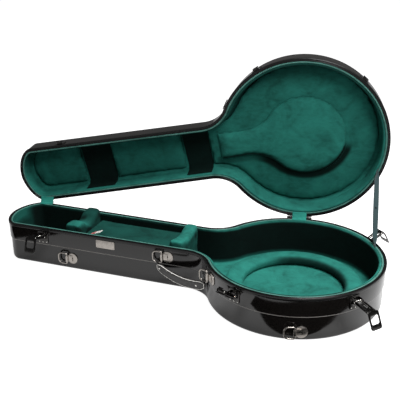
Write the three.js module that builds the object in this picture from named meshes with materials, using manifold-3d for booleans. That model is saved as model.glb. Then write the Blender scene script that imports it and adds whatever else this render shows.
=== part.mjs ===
// Hard case for a banjo: stepped shells, plush linings, draw latches, ring plates and a carrying handle.
// Millimetres, +Z up. X runs along the case with the neck towards -X, and the origin lies under the
// centre of the round body, on the ground. The lid stands open, as it does when the stay strap is taut.

import * as THREE from 'three';
import { mergeVertices } from 'three/addons/utils/BufferGeometryUtils.js';
import Module from 'manifold-3d';

const wasm = await Module();
wasm.setup();

// Driving sizes of the whole case

const bodyRadius = 200;
const neckLength = 728;
const neckEndHalfWidth = 74;
const neckHeelHalfWidth = 68;
const waistFillet = 72;
const endCapDepth = 46;
const baseHeight = 100;
const lidDepth = 58;
const rimGap = 0.4;
const lidOpenDegrees = 84.3;
const hingeReach = 3;
const seatGap = 0.3;
const cutOverrun = 2;

// Shells

const shellWallInset = 6.6;
const shellFloor = 3.4;
const upperWallInset = 1.2;
const lowerWallInset = 3.8;
const ledgeShare = 0.55;
const ledgeHeight = baseHeight * ledgeShare;
const ledgeSlopeHeight = 3;
const baseEdgeRadius = 9;
const lidEdgeRadius = 12;
const lidWallDraft = 2.6;
const valanceHeight = 7;

// Linings

const weltDiameter = 4.2;
const bodyLiningInset = 18;
const neckLiningInset = 13;
const liningFloor = 8;
const liningCrown = 3.4;
const lidBacking = 1.6;
const lidPadThickness = 10;
const lidPadEdge = 3;
const padInset = { body: 22, neck: 17, back: 6 };

const lidPads = [
  { name: 'lid_pad_head', from: -neckLength, to: 160 - neckLength },
  { name: 'lid_pad_middle', from: 240 - neckLength, to: -98 - bodyRadius },
  { name: 'lid_pad_body', from: -32 - bodyRadius, to: bodyRadius },
];

const pillow = { radius: 101, neckHalf: 36, fillet: 90, tip: -13 - bodyRadius, rise: 12, edge: 7, offset: 3 };

// Pads and blocks inside the base

const ringPad = { outer: bodyRadius - 44, inner: bodyRadius - 87, top: 34, edge: 3 };
const blockEdge = 9;
const headBlock = {
  from: 179 - neckLength,
  to: 216 - neckLength,
  top: baseHeight + 14,
  notchHalf: 24,
  notchFloor: baseHeight + 2,
  shoulder: 12,
};
const heelBlock = {
  from: -80 - bodyRadius,
  to: -49 - bodyRadius,
  top: baseHeight + 11,
  notchHalf: 34,
  notchFloor: baseHeight + 6,
  shoulder: 14,
};
const notchShares = { wall: 0.8, floor: 0.6 };
const compartment = {
  top: baseHeight - 18,
  board: 4,
  railWidth: 8,
  railHeight: 8,
  endGap: 2,
  sideGap: 1.2,
};
const ribbon = {
  width: 14,
  thick: 1,
  rise: 20,
  lean: 38,
  x: headBlock.to + 4,
  y: 30 - neckEndHalfWidth,
  bendShare: 0.4,
};

// Hinges

const hinges = [
  { name: 'neck', at: 76 - neckLength, width: 30, inside: 24 },
  { name: 'body', at: 0, width: 60, inside: 25 },
];
const leaf = { height: 20, thick: 1.4, knuckle: 2.5, pin: 1.2, bore: 1.4, endShare: 0.3, web: 7 };
const cover = { width: 35, thick: 1, dip: 5, rise: 0.6 };

// Stay strap between the base and the lid

const stay = { width: 13, thick: 0.8, baseAzimuth: 31, lidAzimuth: 31, tail: 13, bend: 0.5 };
const stayPlate = { height: 8, thick: 1 };
const staySlit = { inset: 12, depth: 16 };

// Draw latches: pivot places on the wall, how far each arm is lifted from level, and how far each hook
// plate hangs from its fold along the arm

const latchPlaces = [
  { name: 'neck', neckX: 125 - neckLength, lift: 20, hang: 92 },
  { name: 'front', azimuth: -113.5, lift: 35, hang: 0 },
  { name: 'side', azimuth: -38, lift: -8, hang: 124 },
  { name: 'back', azimuth: 49, lift: 27, hang: 93 },
];
const latchPlate = {
  half: 14,
  low: baseHeight - 40,
  high: baseHeight - 9,
  thick: 1.5,
  corner: 5,
  ear: 1.4,
  earRadius: 4,
};
const latchPivot = { out: 8, height: baseHeight - 19, pin: 1.4, bore: 1.7 };
const arm = {
  half: 9,
  length: 38,
  wall: 1.4,
  side: 3.2,
  round: 3.9,
  webFrom: 7,
  webTo: 28,
  slot: 4,
  slotEnd: 5,
};
const hook = {
  half: 14,
  length: 36,
  offset: 4.5,
  thick: 1.4,
  corner: 5,
  barrel: 2.6,
  neckHalf: 5.6,
  windowHalf: 10,
  windowFrom: 7,
  windowTo: 25,
  rib: 1.2,
};
const claw = { half: 5, rise: 4.2, thick: 1.4, reach: 6.8, drop: 3.4 };
const keeper = {
  half: 12,
  low: baseHeight + 8.5,
  high: baseHeight + 30,
  thick: 1.4,
  corner: 4,
  lipHalf: 7,
  lipLow: baseHeight + 13.5,
  lipReach: 4.3,
};

// Ring plates: a round plate with a folded eye, and a ring that turns in it

const ringPlaces = [
  { name: 'neck', neckX: 201 - neckLength, height: ledgeHeight - 25, turned: 0, low: true },
  { name: 'front', azimuth: -71, height: 22, turned: 0, low: true },
  { name: 'handle_left', neckX: -77 - bodyRadius, height: baseHeight - 24, turned: 0, low: false },
  { name: 'handle_right', azimuth: -137, height: baseHeight - 22, turned: 26, low: false },
];
const ringSize = { disc: 13.5, thick: 1.5, screw: 1.8, barAlong: 13, barOut: 5.4, wire: 1.75, bore: 2.15 };
const ringEye = { radius: 3.4, half: 8 };
const ringLoop = { depth: 22, half: 13.25, barCorner: 3.5, outerCorner: 9, grip: 9 };

// Carrying handle

const handle = { sag: 13, drop: 10, half: 11, endHalf: 7, thick: 7, endThick: 5, edge: 2.2, taper: 16 };
const handleLoop = { bore: 3.4, outer: 4.9, half: 2.4 };

// Plates on the outside

const badge = {
  half: 24,
  placeShare: 0.368,
  low: baseHeight - 28,
  high: baseHeight - 8,
  thick: 1,
  corner: 2.5,
};
const guard = {
  azimuth: -145,
  half: 12,
  low: baseHeight + 2,
  high: baseHeight + 14,
  thick: 2.4,
  corner: 4,
};

// Facets: points along each stretch of one half of the plan outline, and sides of round pieces

const bodySteps = 24;
const filletSteps = 5;
const capSteps = 7;
const edgeSteps = 3;
const capPower = 1.8;
const handleSteps = 14;
const strapSteps = 6;
const weltSides = 5;
const rodSides = 10;
const wireSides = 8;

const degrees = Math.PI / 180;

const colours = {
  shell: { color: 0x2b2826, roughness: 0.14, metalness: 0 },
  valance: { color: 0x0d0d0d, roughness: 0.35, metalness: 0 },
  plush: { color: 0x2f7d6d, roughness: 0.95, metalness: 0 },
  darkPlush: { color: 0x12302c, roughness: 0.95, metalness: 0 },
  welt: { color: 0x7f9f97, roughness: 0.8, metalness: 0 },
  nickel: { color: 0xc9c6c0, roughness: 0.22, metalness: 1 },
  blackMetal: { color: 0x141414, roughness: 0.3, metalness: 0.6 },
  blackVinyl: { color: 0x1c1b1a, roughness: 0.5, metalness: 0 },
  webbing: { color: 0x49605a, roughness: 0.9, metalness: 0 },
  ribbon: { color: 0xa23c34, roughness: 0.7, metalness: 0 },
};

const part = new THREE.Group();
const lidGroup = new THREE.Group();

// Heights and insets that the pieces share

const valanceLow = baseHeight - valanceHeight;
const lidRim = baseHeight + rimGap;
const lidValanceHigh = lidRim + valanceHeight;
const lidTop = baseHeight + lidDepth;
const liningInset = shellWallInset + seatGap;
const weltRadius = weltDiameter / 2;
const weltInset = liningInset + weltRadius;
const weltInner = weltInset + weltRadius + seatGap;
const baseWeltHeight = baseHeight - weltRadius - seatGap;
const lidWeltHeight = lidRim + weltRadius + seatGap;
const baseCrownHigh = baseWeltHeight - weltRadius - seatGap + liningCrown;
const lidCrownLow = lidWeltHeight + weltRadius + seatGap - liningCrown;
const liningLow = shellFloor + seatGap;
const floorTop = liningLow + liningFloor;
const backingHigh = lidTop - shellFloor - seatGap;
const backingLow = backingHigh - lidBacking;
const backingInset = shellWallInset + lidEdgeRadius + 2 * seatGap + lidBacking;
const padHigh = backingLow - seatGap;
const padLow = padHigh - lidPadThickness;
const neckSlope = (neckHeelHalfWidth - neckEndHalfWidth) / (neckLength - bodyRadius);

// Solids

function solidOf(geometry) {
  const bare = geometry.index ? geometry.toNonIndexed() : geometry.clone();
  bare.deleteAttribute('normal');
  bare.deleteAttribute('uv');
  const merged = mergeVertices(bare);
  return new wasm.Manifold(new wasm.Mesh({
    numProp: 3,
    vertProperties: new Float32Array(merged.attributes.position.array),
    triVerts: new Uint32Array(merged.index.array),
  }));
}

function geometryOf(solid) {
  const mesh = solid.getMesh();
  const geometry = new THREE.BufferGeometry();
  geometry.setAttribute('position', new THREE.BufferAttribute(new Float32Array(mesh.vertProperties), 3));
  geometry.setIndex(new THREE.BufferAttribute(new Uint32Array(mesh.triVerts), 1));
  geometry.computeVertexNormals();
  return geometry;
}

function fuse(...geometries) {
  return geometryOf(geometries.map(solidOf).reduce((whole, piece) => whole.add(piece)));
}

function carve(geometry, ...cutters) {
  const solids = cutters.map(solidOf);
  return geometryOf(solids.reduce((whole, cutter) => whole.subtract(cutter), solidOf(geometry)));
}

function keepInside(geometry, limit) {
  return geometryOf(solidOf(geometry).intersect(solidOf(limit)));
}

function addPiece(group, name, geometry, finish) {
  const mesh = new THREE.Mesh(geometry, new THREE.MeshStandardMaterial(colours[finish]));
  mesh.name = name;
  group.add(mesh);
}

function boxBetween(x0, x1, y0, y1, z0, z1) {
  const box = new THREE.BoxGeometry(x1 - x0, y1 - y0, z1 - z0);
  return box.translate((x0 + x1) / 2, (y0 + y1) / 2, (z0 + z1) / 2);
}

function rodAlongX(radius, x0, x1, y, z, sides = rodSides) {
  const rod = new THREE.CylinderGeometry(radius, radius, x1 - x0, sides);
  return rod.rotateZ(Math.PI / 2).translate((x0 + x1) / 2, y, z);
}

function rodAlongY(radius, y0, y1, x, z, sides = rodSides) {
  const rod = new THREE.CylinderGeometry(radius, radius, y1 - y0, sides);
  return rod.translate(x, (y0 + y1) / 2, z);
}

function rodAlongZ(radius, z0, z1, x, y, sides = rodSides) {
  const rod = new THREE.CylinderGeometry(radius, radius, z1 - z0, sides);
  return rod.rotateX(Math.PI / 2).translate(x, y, (z0 + z1) / 2);
}

// A shape drawn in y and z, drawn out along x
function slab(shape, x0, x1, bevel = 0) {
  const solid = new THREE.ExtrudeGeometry(shape, {
    depth: x1 - x0 - 2 * bevel,
    bevelEnabled: bevel > 0,
    bevelThickness: bevel,
    bevelSize: bevel,
    bevelOffset: -bevel,
    bevelSegments: 2,
    curveSegments: 4,
  });
  const turn = new THREE.Matrix4().makeBasis(
    new THREE.Vector3(0, 1, 0),
    new THREE.Vector3(0, 0, 1),
    new THREE.Vector3(1, 0, 0),
  );
  return solid.translate(0, 0, x0 + bevel).applyMatrix4(turn);
}

// A shape drawn in x and z, drawn out along y
function panel(shape, y0, y1) {
  const solid = new THREE.ExtrudeGeometry(shape, { depth: y1 - y0, bevelEnabled: false, curveSegments: 2 });
  return solid.rotateX(Math.PI / 2).translate(0, y1, 0);
}

function roundedRectangle(x0, x1, z0, z1, corner, path = new THREE.Shape()) {
  path.moveTo(x0 + corner, z0);
  path.lineTo(x1 - corner, z0);
  path.absarc(x1 - corner, z0 + corner, corner, -Math.PI / 2, 0);
  path.lineTo(x1, z1 - corner);
  path.absarc(x1 - corner, z1 - corner, corner, 0, Math.PI / 2);
  path.lineTo(x0 + corner, z1);
  path.absarc(x0 + corner, z1 - corner, corner, Math.PI / 2, Math.PI);
  path.lineTo(x0, z0 + corner);
  path.absarc(x0 + corner, z0 + corner, corner, Math.PI, 1.5 * Math.PI);
  return path;
}

function sideFaces(count, levels, closed) {
  const index = [];
  for (let level = 0; level < (closed ? levels : levels - 1); level += 1) {
    const next = (level + 1) % levels;
    for (let i = 0; i < count; i += 1) {
      const a = level * count + i;
      const b = level * count + (i + 1) % count;
      const c = next * count + i;
      const d = next * count + (i + 1) % count;
      index.push(a, b, d, a, d, c);
    }
  }
  return index;
}

function skinOf(rings, index) {
  const geometry = new THREE.BufferGeometry();
  geometry.setAttribute('position', new THREE.Float32BufferAttribute(rings.flat(2), 3));
  geometry.setIndex(index);
  return geometry;
}

// A closed skin over level rings, each a list of [x, y, z] with equally many points
function stack(rings) {
  const count = rings[0].length;
  const last = (rings.length - 1) * count;
  const index = sideFaces(count, rings.length, false);
  const flat = (ring) => ring.map(([x, y]) => new THREE.Vector2(x, y));
  for (const [a, b, c] of THREE.ShapeUtils.triangulateShape(flat(rings[0]), [])) {
    index.push(c, b, a);
  }
  for (const [a, b, c] of THREE.ShapeUtils.triangulateShape(flat(rings[rings.length - 1]), [])) {
    index.push(last + a, last + b, last + c);
  }
  return skinOf(rings, index);
}

// A closed skin along convex sections that may stand at any angle
function loft(rings) {
  const count = rings[0].length;
  const last = (rings.length - 1) * count;
  const index = sideFaces(count, rings.length, false);
  for (let i = 1; i + 1 < count; i += 1) {
    index.push(0, i + 1, i);
    index.push(last, last + i, last + i + 1);
  }
  return skinOf(rings, index);
}

// A closed skin round a hollow: the last ring joins the first
function hoop(rings) {
  return skinOf(rings, sideFaces(rings[0].length, rings.length, true));
}

// Plan outline of the case, drawn in by body on the round part and by neck along the neck

function planWith(body, neck) {
  return {
    radius: bodyRadius - body,
    end: neckEndHalfWidth - neck,
    heel: neckHeelHalfWidth - neck,
    fillet: waistFillet + body,
    cap: endCapDepth - neck,
    length: neckLength - neck,
  };
}

function halfOutline(plan) {
  const tilt = Math.atan(neckSlope);
  const crossing = plan.end + neckSlope * neckLength;
  const reach = plan.radius + plan.fillet;
  const rise = crossing + plan.fillet / Math.cos(tilt);
  const spread = 1 + neckSlope * neckSlope;
  const half = neckSlope * rise / spread;
  const filletX = -half - Math.sqrt(half * half - (rise * rise - reach * reach) / spread);
  const filletY = neckSlope * filletX + rise;
  const meet = Math.atan2(filletY, filletX);
  const points = [];
  for (let i = 0; i <= bodySteps; i += 1) {
    const angle = meet * i / bodySteps;
    points.push([plan.radius * Math.cos(angle), plan.radius * Math.sin(angle)]);
  }
  const from = meet + Math.PI;
  const to = 1.5 * Math.PI + tilt;
  for (let i = 1; i <= filletSteps; i += 1) {
    const angle = from + (to - from) * i / filletSteps;
    points.push([filletX + plan.fillet * Math.cos(angle), filletY + plan.fillet * Math.sin(angle)]);
  }
  const capX = plan.cap - plan.length;
  const capY = neckSlope * capX + crossing;
  for (let i = 0; i <= capSteps; i += 1) {
    const angle = Math.PI / 2 * i / capSteps;
    const along = Math.pow(Math.sin(angle), 2 / capPower);
    const across = Math.pow(Math.max(Math.cos(angle), 0), 2 / capPower);
    points.push([capX - plan.cap * along, i === capSteps ? 0 : capY * across]);
  }
  return points;
}

function ringAt(z, body, neck = body) {
  const half = halfOutline(planWith(body, neck));
  const mirrored = half.slice(1, -1).reverse().map(([x, y]) => [x, -y]);
  return [...half, ...mirrored].map(([x, y]) => [x, y, z]);
}

function prism(body, neck, z0, z1) {
  return stack([ringAt(z0, body, neck), ringAt(z1, body, neck)]);
}

// Hinge line: the straight edge that touches the round body and the neck end at the back

function hingeLineAngle() {
  const half = halfOutline(planWith(0, 0)).filter(([x]) => x < -bodyRadius);
  let low = 0;
  let high = Math.PI / 6;
  for (let i = 0; i < 50; i += 1) {
    const angle = (low + high) / 2;
    const neckReach = Math.max(...half.map(([x, y]) => y * Math.cos(angle) - x * Math.sin(angle)));
    if (neckReach < bodyRadius) {
      low = angle;
    } else {
      high = angle;
    }
  }
  return low;
}

const hingeAngle = hingeLineAngle();
const hingeAlong = new THREE.Vector3(Math.cos(hingeAngle), Math.sin(hingeAngle), 0);
const hingeAcross = new THREE.Vector3(-Math.sin(hingeAngle), Math.cos(hingeAngle), 0);
const hingePoint = hingeAcross.clone().multiplyScalar(bodyRadius + hingeReach);
hingePoint.z = baseHeight + rimGap / 2;

lidGroup.quaternion.setFromAxisAngle(hingeAlong, -lidOpenDegrees * degrees);
lidGroup.position.copy(hingePoint).sub(hingePoint.clone().applyQuaternion(lidGroup.quaternion));
lidGroup.updateMatrix();

// Frames on the case wall: x along the wall, y straight out of it, z up

function wallFrame(x, y, outX, outY, z) {
  const out = new THREE.Vector3(outX, outY, 0).normalize();
  const up = new THREE.Vector3(0, 0, 1);
  const along = new THREE.Vector3().crossVectors(out, up);
  return new THREE.Matrix4().makeBasis(along, out, up).setPosition(x, y, z);
}

function bodyWall(azimuthDegrees, inset, z) {
  const x = Math.cos(azimuthDegrees * degrees);
  const y = Math.sin(azimuthDegrees * degrees);
  const radius = bodyRadius - inset;
  return wallFrame(radius * x, radius * y, x, y, z);
}

function neckWall(x, inset, z) {
  const y = neckEndHalfWidth + neckSlope * (x + neckLength) - inset;
  return wallFrame(x, -y, -neckSlope, -1, z);
}

function frameOf(place, inset = 0, z = 0) {
  return place.azimuth === undefined ? neckWall(place.neckX, inset, z) : bodyWall(place.azimuth, inset, z);
}

function lidWallInset(z) {
  const from = lidValanceHigh + seatGap;
  const to = lidTop - lidEdgeRadius;
  return upperWallInset + lidWallDraft * (z - from) / (to - from);
}

// A plate that follows the wall: a skin just off it, kept inside a cutter given in the wall's frame
function wallPlate(frame, cutter, insetAt, thick, z0, z1) {
  const face = (z) => insetAt(z) - seatGap;
  const low = z0 - cutOverrun;
  const high = z1 + cutOverrun;
  const skin = carve(
    stack([ringAt(z0, face(z0) - thick), ringAt(z1, face(z1) - thick)]),
    stack([ringAt(low, face(low)), ringAt(high, face(high))]),
  );
  return keepInside(skin, cutter.applyMatrix4(frame));
}

const upperWall = () => upperWallInset;
const lowerWall = () => lowerWallInset;

// Shells, rims and linings

function baseShell() {
  const rings = [];
  for (let i = 0; i <= edgeSteps; i += 1) {
    const angle = Math.PI / 2 * i / edgeSteps;
    const inset = lowerWallInset + baseEdgeRadius * (1 - Math.sin(angle));
    rings.push(ringAt(baseEdgeRadius * (1 - Math.cos(angle)), inset));
  }
  rings.push(ringAt(ledgeHeight, lowerWallInset));
  rings.push(ringAt(ledgeHeight + ledgeSlopeHeight, upperWallInset));
  rings.push(ringAt(valanceLow - seatGap, upperWallInset));
  rings.push(ringAt(valanceLow - seatGap, shellWallInset));
  rings.push(ringAt(shellFloor + baseEdgeRadius, shellWallInset));
  rings.push(ringAt(shellFloor, shellWallInset + baseEdgeRadius - shellFloor));
  return stack(rings);
}

function lidShell() {
  const rings = [];
  for (let i = 0; i <= edgeSteps; i += 1) {
    const angle = Math.PI / 2 * i / edgeSteps;
    const inset = upperWallInset + lidWallDraft + lidEdgeRadius * (1 - Math.sin(angle));
    rings.push(ringAt(lidTop - lidEdgeRadius * (1 - Math.cos(angle)), inset));
  }
  rings.push(ringAt(lidValanceHigh + seatGap, upperWallInset));
  rings.push(ringAt(lidValanceHigh + seatGap, shellWallInset));
  rings.push(ringAt(lidTop - shellFloor - lidEdgeRadius, shellWallInset + lidWallDraft));
  rings.push(ringAt(lidTop - shellFloor, shellWallInset + lidEdgeRadius));
  return stack(rings.reverse());
}

function valance(low, high) {
  return hoop([
    ringAt(low, shellWallInset),
    ringAt(low, 0),
    ringAt(high, 0),
    ringAt(high, shellWallInset),
  ]);
}

function welt(centre) {
  const rings = [];
  for (let i = 0; i < weltSides; i += 1) {
    const angle = 2 * Math.PI * (i + 0.5) / weltSides;
    rings.push(ringAt(centre + weltRadius * Math.sin(angle), weltInset - weltRadius * Math.cos(angle)));
  }
  return hoop(rings);
}

// Insets halfway over the rounded crown of a lining
const crownMiddle = [(weltInner + bodyLiningInset) / 2, (weltInner + neckLiningInset) / 2];

function baseLining() {
  const under = baseCrownHigh - liningCrown;
  const crown = baseCrownHigh;
  const lining = stack([
    ringAt(liningLow, shellWallInset + baseEdgeRadius),
    ringAt(liningLow + baseEdgeRadius, liningInset),
    ringAt(under, liningInset),
    ringAt(under, weltInner),
    ringAt(crown, weltInner + seatGap),
    ringAt(crown - liningCrown / 3, ...crownMiddle),
    ringAt(crown - 2 * liningCrown, bodyLiningInset, neckLiningInset),
    ringAt(floorTop, bodyLiningInset, neckLiningInset),
  ]);
  return carve(lining, slitCutter(stay.baseAzimuth, crown - staySlit.depth, crown + cutOverrun));
}

function lidLining() {
  const over = lidCrownLow + liningCrown;
  const crown = lidCrownLow;
  const lining = stack([
    ringAt(backingHigh, shellWallInset + lidEdgeRadius + seatGap),
    ringAt(backingHigh - lidEdgeRadius, liningInset + lidWallDraft),
    ringAt(over, liningInset),
    ringAt(over, weltInner),
    ringAt(crown, weltInner + seatGap),
    ringAt(crown + liningCrown / 3, ...crownMiddle),
    ringAt(crown + 2 * liningCrown, bodyLiningInset, neckLiningInset),
    ringAt(backingLow - lidEdgeRadius, bodyLiningInset, neckLiningInset),
    ringAt(backingLow, backingInset + bodyLiningInset - neckLiningInset, backingInset),
  ].reverse());
  return carve(lining, slitCutter(stay.lidAzimuth, crown - cutOverrun, crown + staySlit.depth));
}

// Pads and blocks

function ringPadForm() {
  const low = floorTop + seatGap;
  const shoulder = ringPad.top - ringPad.edge;
  const outline = [
    [ringPad.inner, low],
    [ringPad.outer, low],
    [ringPad.outer, shoulder],
    [ringPad.outer - ringPad.edge / 3, ringPad.top - ringPad.edge / 3],
    [ringPad.outer - ringPad.edge, ringPad.top],
    [ringPad.inner + ringPad.edge, ringPad.top],
    [ringPad.inner + ringPad.edge / 3, ringPad.top - ringPad.edge / 3],
    [ringPad.inner, shoulder],
    [ringPad.inner, low],
  ].map(([radius, z]) => new THREE.Vector2(radius, z));
  return new THREE.LatheGeometry(outline, 2 * bodySteps).rotateX(Math.PI / 2);
}

// Block across the neck with a round-shouldered notch, fitted between the linings
function neckBlock(block) {
  const shape = new THREE.Shape();
  const low = floorTop + seatGap - blockEdge;
  const side = neckEndHalfWidth + blockEdge;
  const lip = block.notchHalf + block.shoulder;
  const wall = block.notchHalf * notchShares.wall;
  const floor = block.notchHalf * notchShares.floor;
  const middle = (block.top + block.notchFloor) / 2;
  shape.moveTo(-side, low);
  shape.lineTo(side, low);
  shape.lineTo(side, block.top);
  shape.lineTo(lip, block.top);
  shape.quadraticCurveTo(block.notchHalf, block.top, wall, middle);
  shape.quadraticCurveTo(floor, block.notchFloor, 0, block.notchFloor);
  shape.quadraticCurveTo(-floor, block.notchFloor, -wall, middle);
  shape.quadraticCurveTo(-block.notchHalf, block.top, -lip, block.top);
  shape.lineTo(-side, block.top);
  const body = bodyLiningInset + seatGap;
  const neck = neckLiningInset + seatGap;
  const space = prism(body, neck, floorTop + seatGap, block.top + cutOverrun);
  return keepInside(slab(shape, block.from, block.to, blockEdge), space);
}

// Rail under the compartment board, along one side of the neck
function compartmentRail(side) {
  const high = compartment.top - compartment.board - seatGap;
  const low = high - compartment.railHeight;
  const body = bodyLiningInset + seatGap;
  const neck = neckLiningInset + seatGap;
  const band = carve(
    prism(body, neck, low, high),
    prism(body + compartment.railWidth, neck + compartment.railWidth, low - cutOverrun, high + cutOverrun),
  );
  const near = Math.min(0, side * neckEndHalfWidth);
  const far = Math.max(0, side * neckEndHalfWidth);
  return keepInside(band, boxBetween(headBlock.to + seatGap, heelBlock.from - seatGap, near, far, low, high));
}

function compartmentBoard() {
  const low = compartment.top - compartment.board;
  const body = bodyLiningInset + compartment.sideGap;
  const neck = neckLiningInset + compartment.sideGap;
  const x0 = headBlock.to + compartment.endGap;
  const x1 = heelBlock.from - compartment.endGap;
  const limit = boxBetween(x0, x1, -neckEndHalfWidth, neckEndHalfWidth, low, compartment.top);
  return keepInside(prism(body, neck, low, compartment.top), limit);
}

// Ribbon loop glued to the board: its foot lies flat and its free end stands up and leans over
function ribbonPull() {
  const foot = ribbon.width;
  const bendX = foot + ribbon.lean * ribbon.bendShare * ribbon.bendShare;
  const bendZ = ribbon.rise * ribbon.bendShare;
  const shape = new THREE.Shape();
  shape.moveTo(0, 0);
  shape.lineTo(foot, 0);
  shape.lineTo(bendX, bendZ);
  shape.lineTo(foot + ribbon.lean, ribbon.rise);
  shape.lineTo(foot + ribbon.lean - ribbon.thick, ribbon.rise + ribbon.thick);
  shape.lineTo(bendX - ribbon.thick, bendZ + ribbon.thick);
  shape.lineTo(foot - ribbon.thick, ribbon.thick);
  shape.lineTo(0, ribbon.thick);
  const strip = panel(shape, -ribbon.width / 2, ribbon.width / 2);
  return strip.translate(ribbon.x, ribbon.y, compartment.top + seatGap);
}

function lidPad({ from, to }) {
  const pad = stack([
    ringAt(padLow, padInset.body + lidPadEdge, padInset.neck + lidPadEdge),
    ringAt(padLow + lidPadEdge, padInset.body, padInset.neck),
    ringAt(padHigh, padInset.body + padInset.back, padInset.neck + padInset.back),
  ]);
  const low = padLow - cutOverrun;
  const high = padHigh + cutOverrun;
  return keepInside(pad, boxBetween(from, to, -bodyRadius, bodyRadius, low, high));
}

// Drop-shaped outline of the pillow: round about the drum of the banjo, drawn out under its neck
function pillowRing(z, inset) {
  const radius = pillow.radius - inset;
  const fillet = pillow.fillet + inset;
  const reach = radius + fillet;
  const rise = pillow.neckHalf - inset + fillet;
  const filletX = -Math.sqrt(reach * reach - rise * rise);
  const meet = Math.atan2(rise, filletX);
  const points = [];
  for (let i = 0; i <= bodySteps; i += 1) {
    points.push([radius * Math.cos(meet * i / bodySteps), radius * Math.sin(meet * i / bodySteps)]);
  }
  for (let i = 1; i <= filletSteps; i += 1) {
    const angle = meet + Math.PI + (Math.PI / 2 - meet) * i / filletSteps;
    points.push([filletX + fillet * Math.cos(angle), rise + fillet * Math.sin(angle)]);
  }
  points.push([pillow.tip + inset, pillow.neckHalf - inset]);
  const mirrored = points.slice(1).reverse().map(([x, y]) => [x, -y]);
  return [...points, ...mirrored].map(([x, y]) => [x + pillow.offset, y, z]);
}

function pillowForm() {
  const high = padLow - seatGap;
  const low = high - pillow.rise;
  return stack([
    pillowRing(low, 3 * pillow.edge),
    pillowRing(low + pillow.rise / 8, pillow.edge),
    pillowRing(low + pillow.rise / 2, pillow.edge / 4),
    pillowRing(high, 0),
  ]);
}

// Hinges: leaves that follow the wall, knuckles round one pin, and a plush cover inside each

// Moves a geometry drawn along the pin (x), out from it (y) and up (z) to the hinge line
function onHingeLine(geometry) {
  return geometry.rotateZ(hingeAngle).translate(hingePoint.x, hingePoint.y, 0);
}

function hingeRod(radius, x0, x1) {
  return onHingeLine(rodAlongX(radius, x0, x1, 0, hingePoint.z));
}

function knuckleSpans({ at, width }, onLid) {
  const end = width * leaf.endShare;
  const left = at - width / 2;
  const right = at + width / 2;
  if (onLid) {
    return [[left + end + seatGap, right - end - seatGap]];
  }
  return [[left + seatGap, left + end], [right - end, right - seatGap]];
}

function hingeLeaf(hinge, onLid) {
  const low = onLid ? lidRim + seatGap : baseHeight - leaf.height;
  const high = onLid ? lidRim + leaf.height : baseHeight - seatGap;
  const left = hinge.at - hinge.width / 2;
  const right = hinge.at + hinge.width / 2;
  const outside = () => 0;
  const inLeaf = -seatGap - leaf.thick / 2;
  const inWall = prism(inLeaf, inLeaf, baseHeight - 2 * leaf.height, baseHeight + 2 * leaf.height);
  const limit = onHingeLine(boxBetween(left, right, -neckHeelHalfWidth, hingeReach, low, high));
  const plate = wallPlate(new THREE.Matrix4(), limit, outside, leaf.thick, low, high);
  const knuckles = knuckleSpans(hinge, onLid).map(([x0, x1]) => {
    const webLow = onLid ? hingePoint.z : hingePoint.z - leaf.knuckle;
    const webHigh = webLow + leaf.knuckle;
    const web = onHingeLine(boxBetween(x0, x1, -leaf.web, 0, webLow, webHigh));
    return fuse(hingeRod(leaf.knuckle, x0, x1), carve(web, inWall));
  });
  const clearances = knuckleSpans(hinge, !onLid).map(([x0, x1]) => (
    hingeRod(leaf.knuckle + seatGap, x0 - seatGap, x1 + seatGap)
  ));
  const bore = hingeRod(leaf.bore, left - cutOverrun, right + cutOverrun);
  return carve(fuse(plate, ...knuckles), bore, ...clearances);
}

function hingePin({ at, width }) {
  return hingeRod(leaf.pin, at - width / 2 - seatGap, at + width / 2 + seatGap);
}

// Plush strip over the inside of a hinge: from the base lining, over both rims, into the open lid
function hingeCover(hinge) {
  const inside = -hinge.inside;
  const open = -lidOpenDegrees * degrees;
  const onLid = (out, up) => [
    out * Math.cos(open) - up * Math.sin(open),
    hingePoint.z + out * Math.sin(open) + up * Math.cos(open),
  ];
  const rim = baseHeight + seatGap;
  const path = [
    [inside, baseHeight - cover.dip],
    [inside, rim],
    [-hingeReach - weltInner, rim + cover.rise],
    [-hingeReach - weltInset / 2, rim + cover.rise],
    onLid(-hingeReach - weltInset, -cover.rise),
    onLid(-hingeReach - weltInner, -cover.rise),
    onLid(inside, -seatGap),
    onLid(inside, cover.dip),
  ];
  const rings = path.map(([out, z], t) => {
    const before = path[Math.max(t - 1, 0)];
    const after = path[Math.min(t + 1, path.length - 1)];
    const run = new THREE.Vector2(after[0] - before[0], after[1] - before[1]).normalize();
    const half = cover.thick / 2;
    const side = [-run.y * half, run.x * half];
    const x0 = hinge.at - cover.width / 2;
    const x1 = hinge.at + cover.width / 2;
    return [
      [x1, out + side[0], z + side[1]],
      [x1, out - side[0], z - side[1]],
      [x0, out - side[0], z - side[1]],
      [x0, out + side[0], z + side[1]],
    ];
  });
  return onHingeLine(loft(rings));
}

// Stay strap: each end goes down a slit in the lining's crown, and it is twisted between them

function stayStation(azimuthDegrees, z, matrix) {
  const angle = azimuthDegrees * degrees;
  const radius = bodyRadius - staySlit.inset - seatGap - stay.thick / 2;
  const out = new THREE.Vector3(Math.cos(angle), Math.sin(angle), 0);
  const along = new THREE.Vector3(-Math.sin(angle), Math.cos(angle), 0);
  const centre = out.clone().multiplyScalar(radius);
  centre.z = z;
  return {
    centre: centre.applyMatrix4(matrix),
    along: along.transformDirection(matrix),
    out: out.transformDirection(matrix),
  };
}

const stayBaseBend = baseCrownHigh + stay.bend;
const stayLidBend = lidCrownLow - stay.bend;

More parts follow.
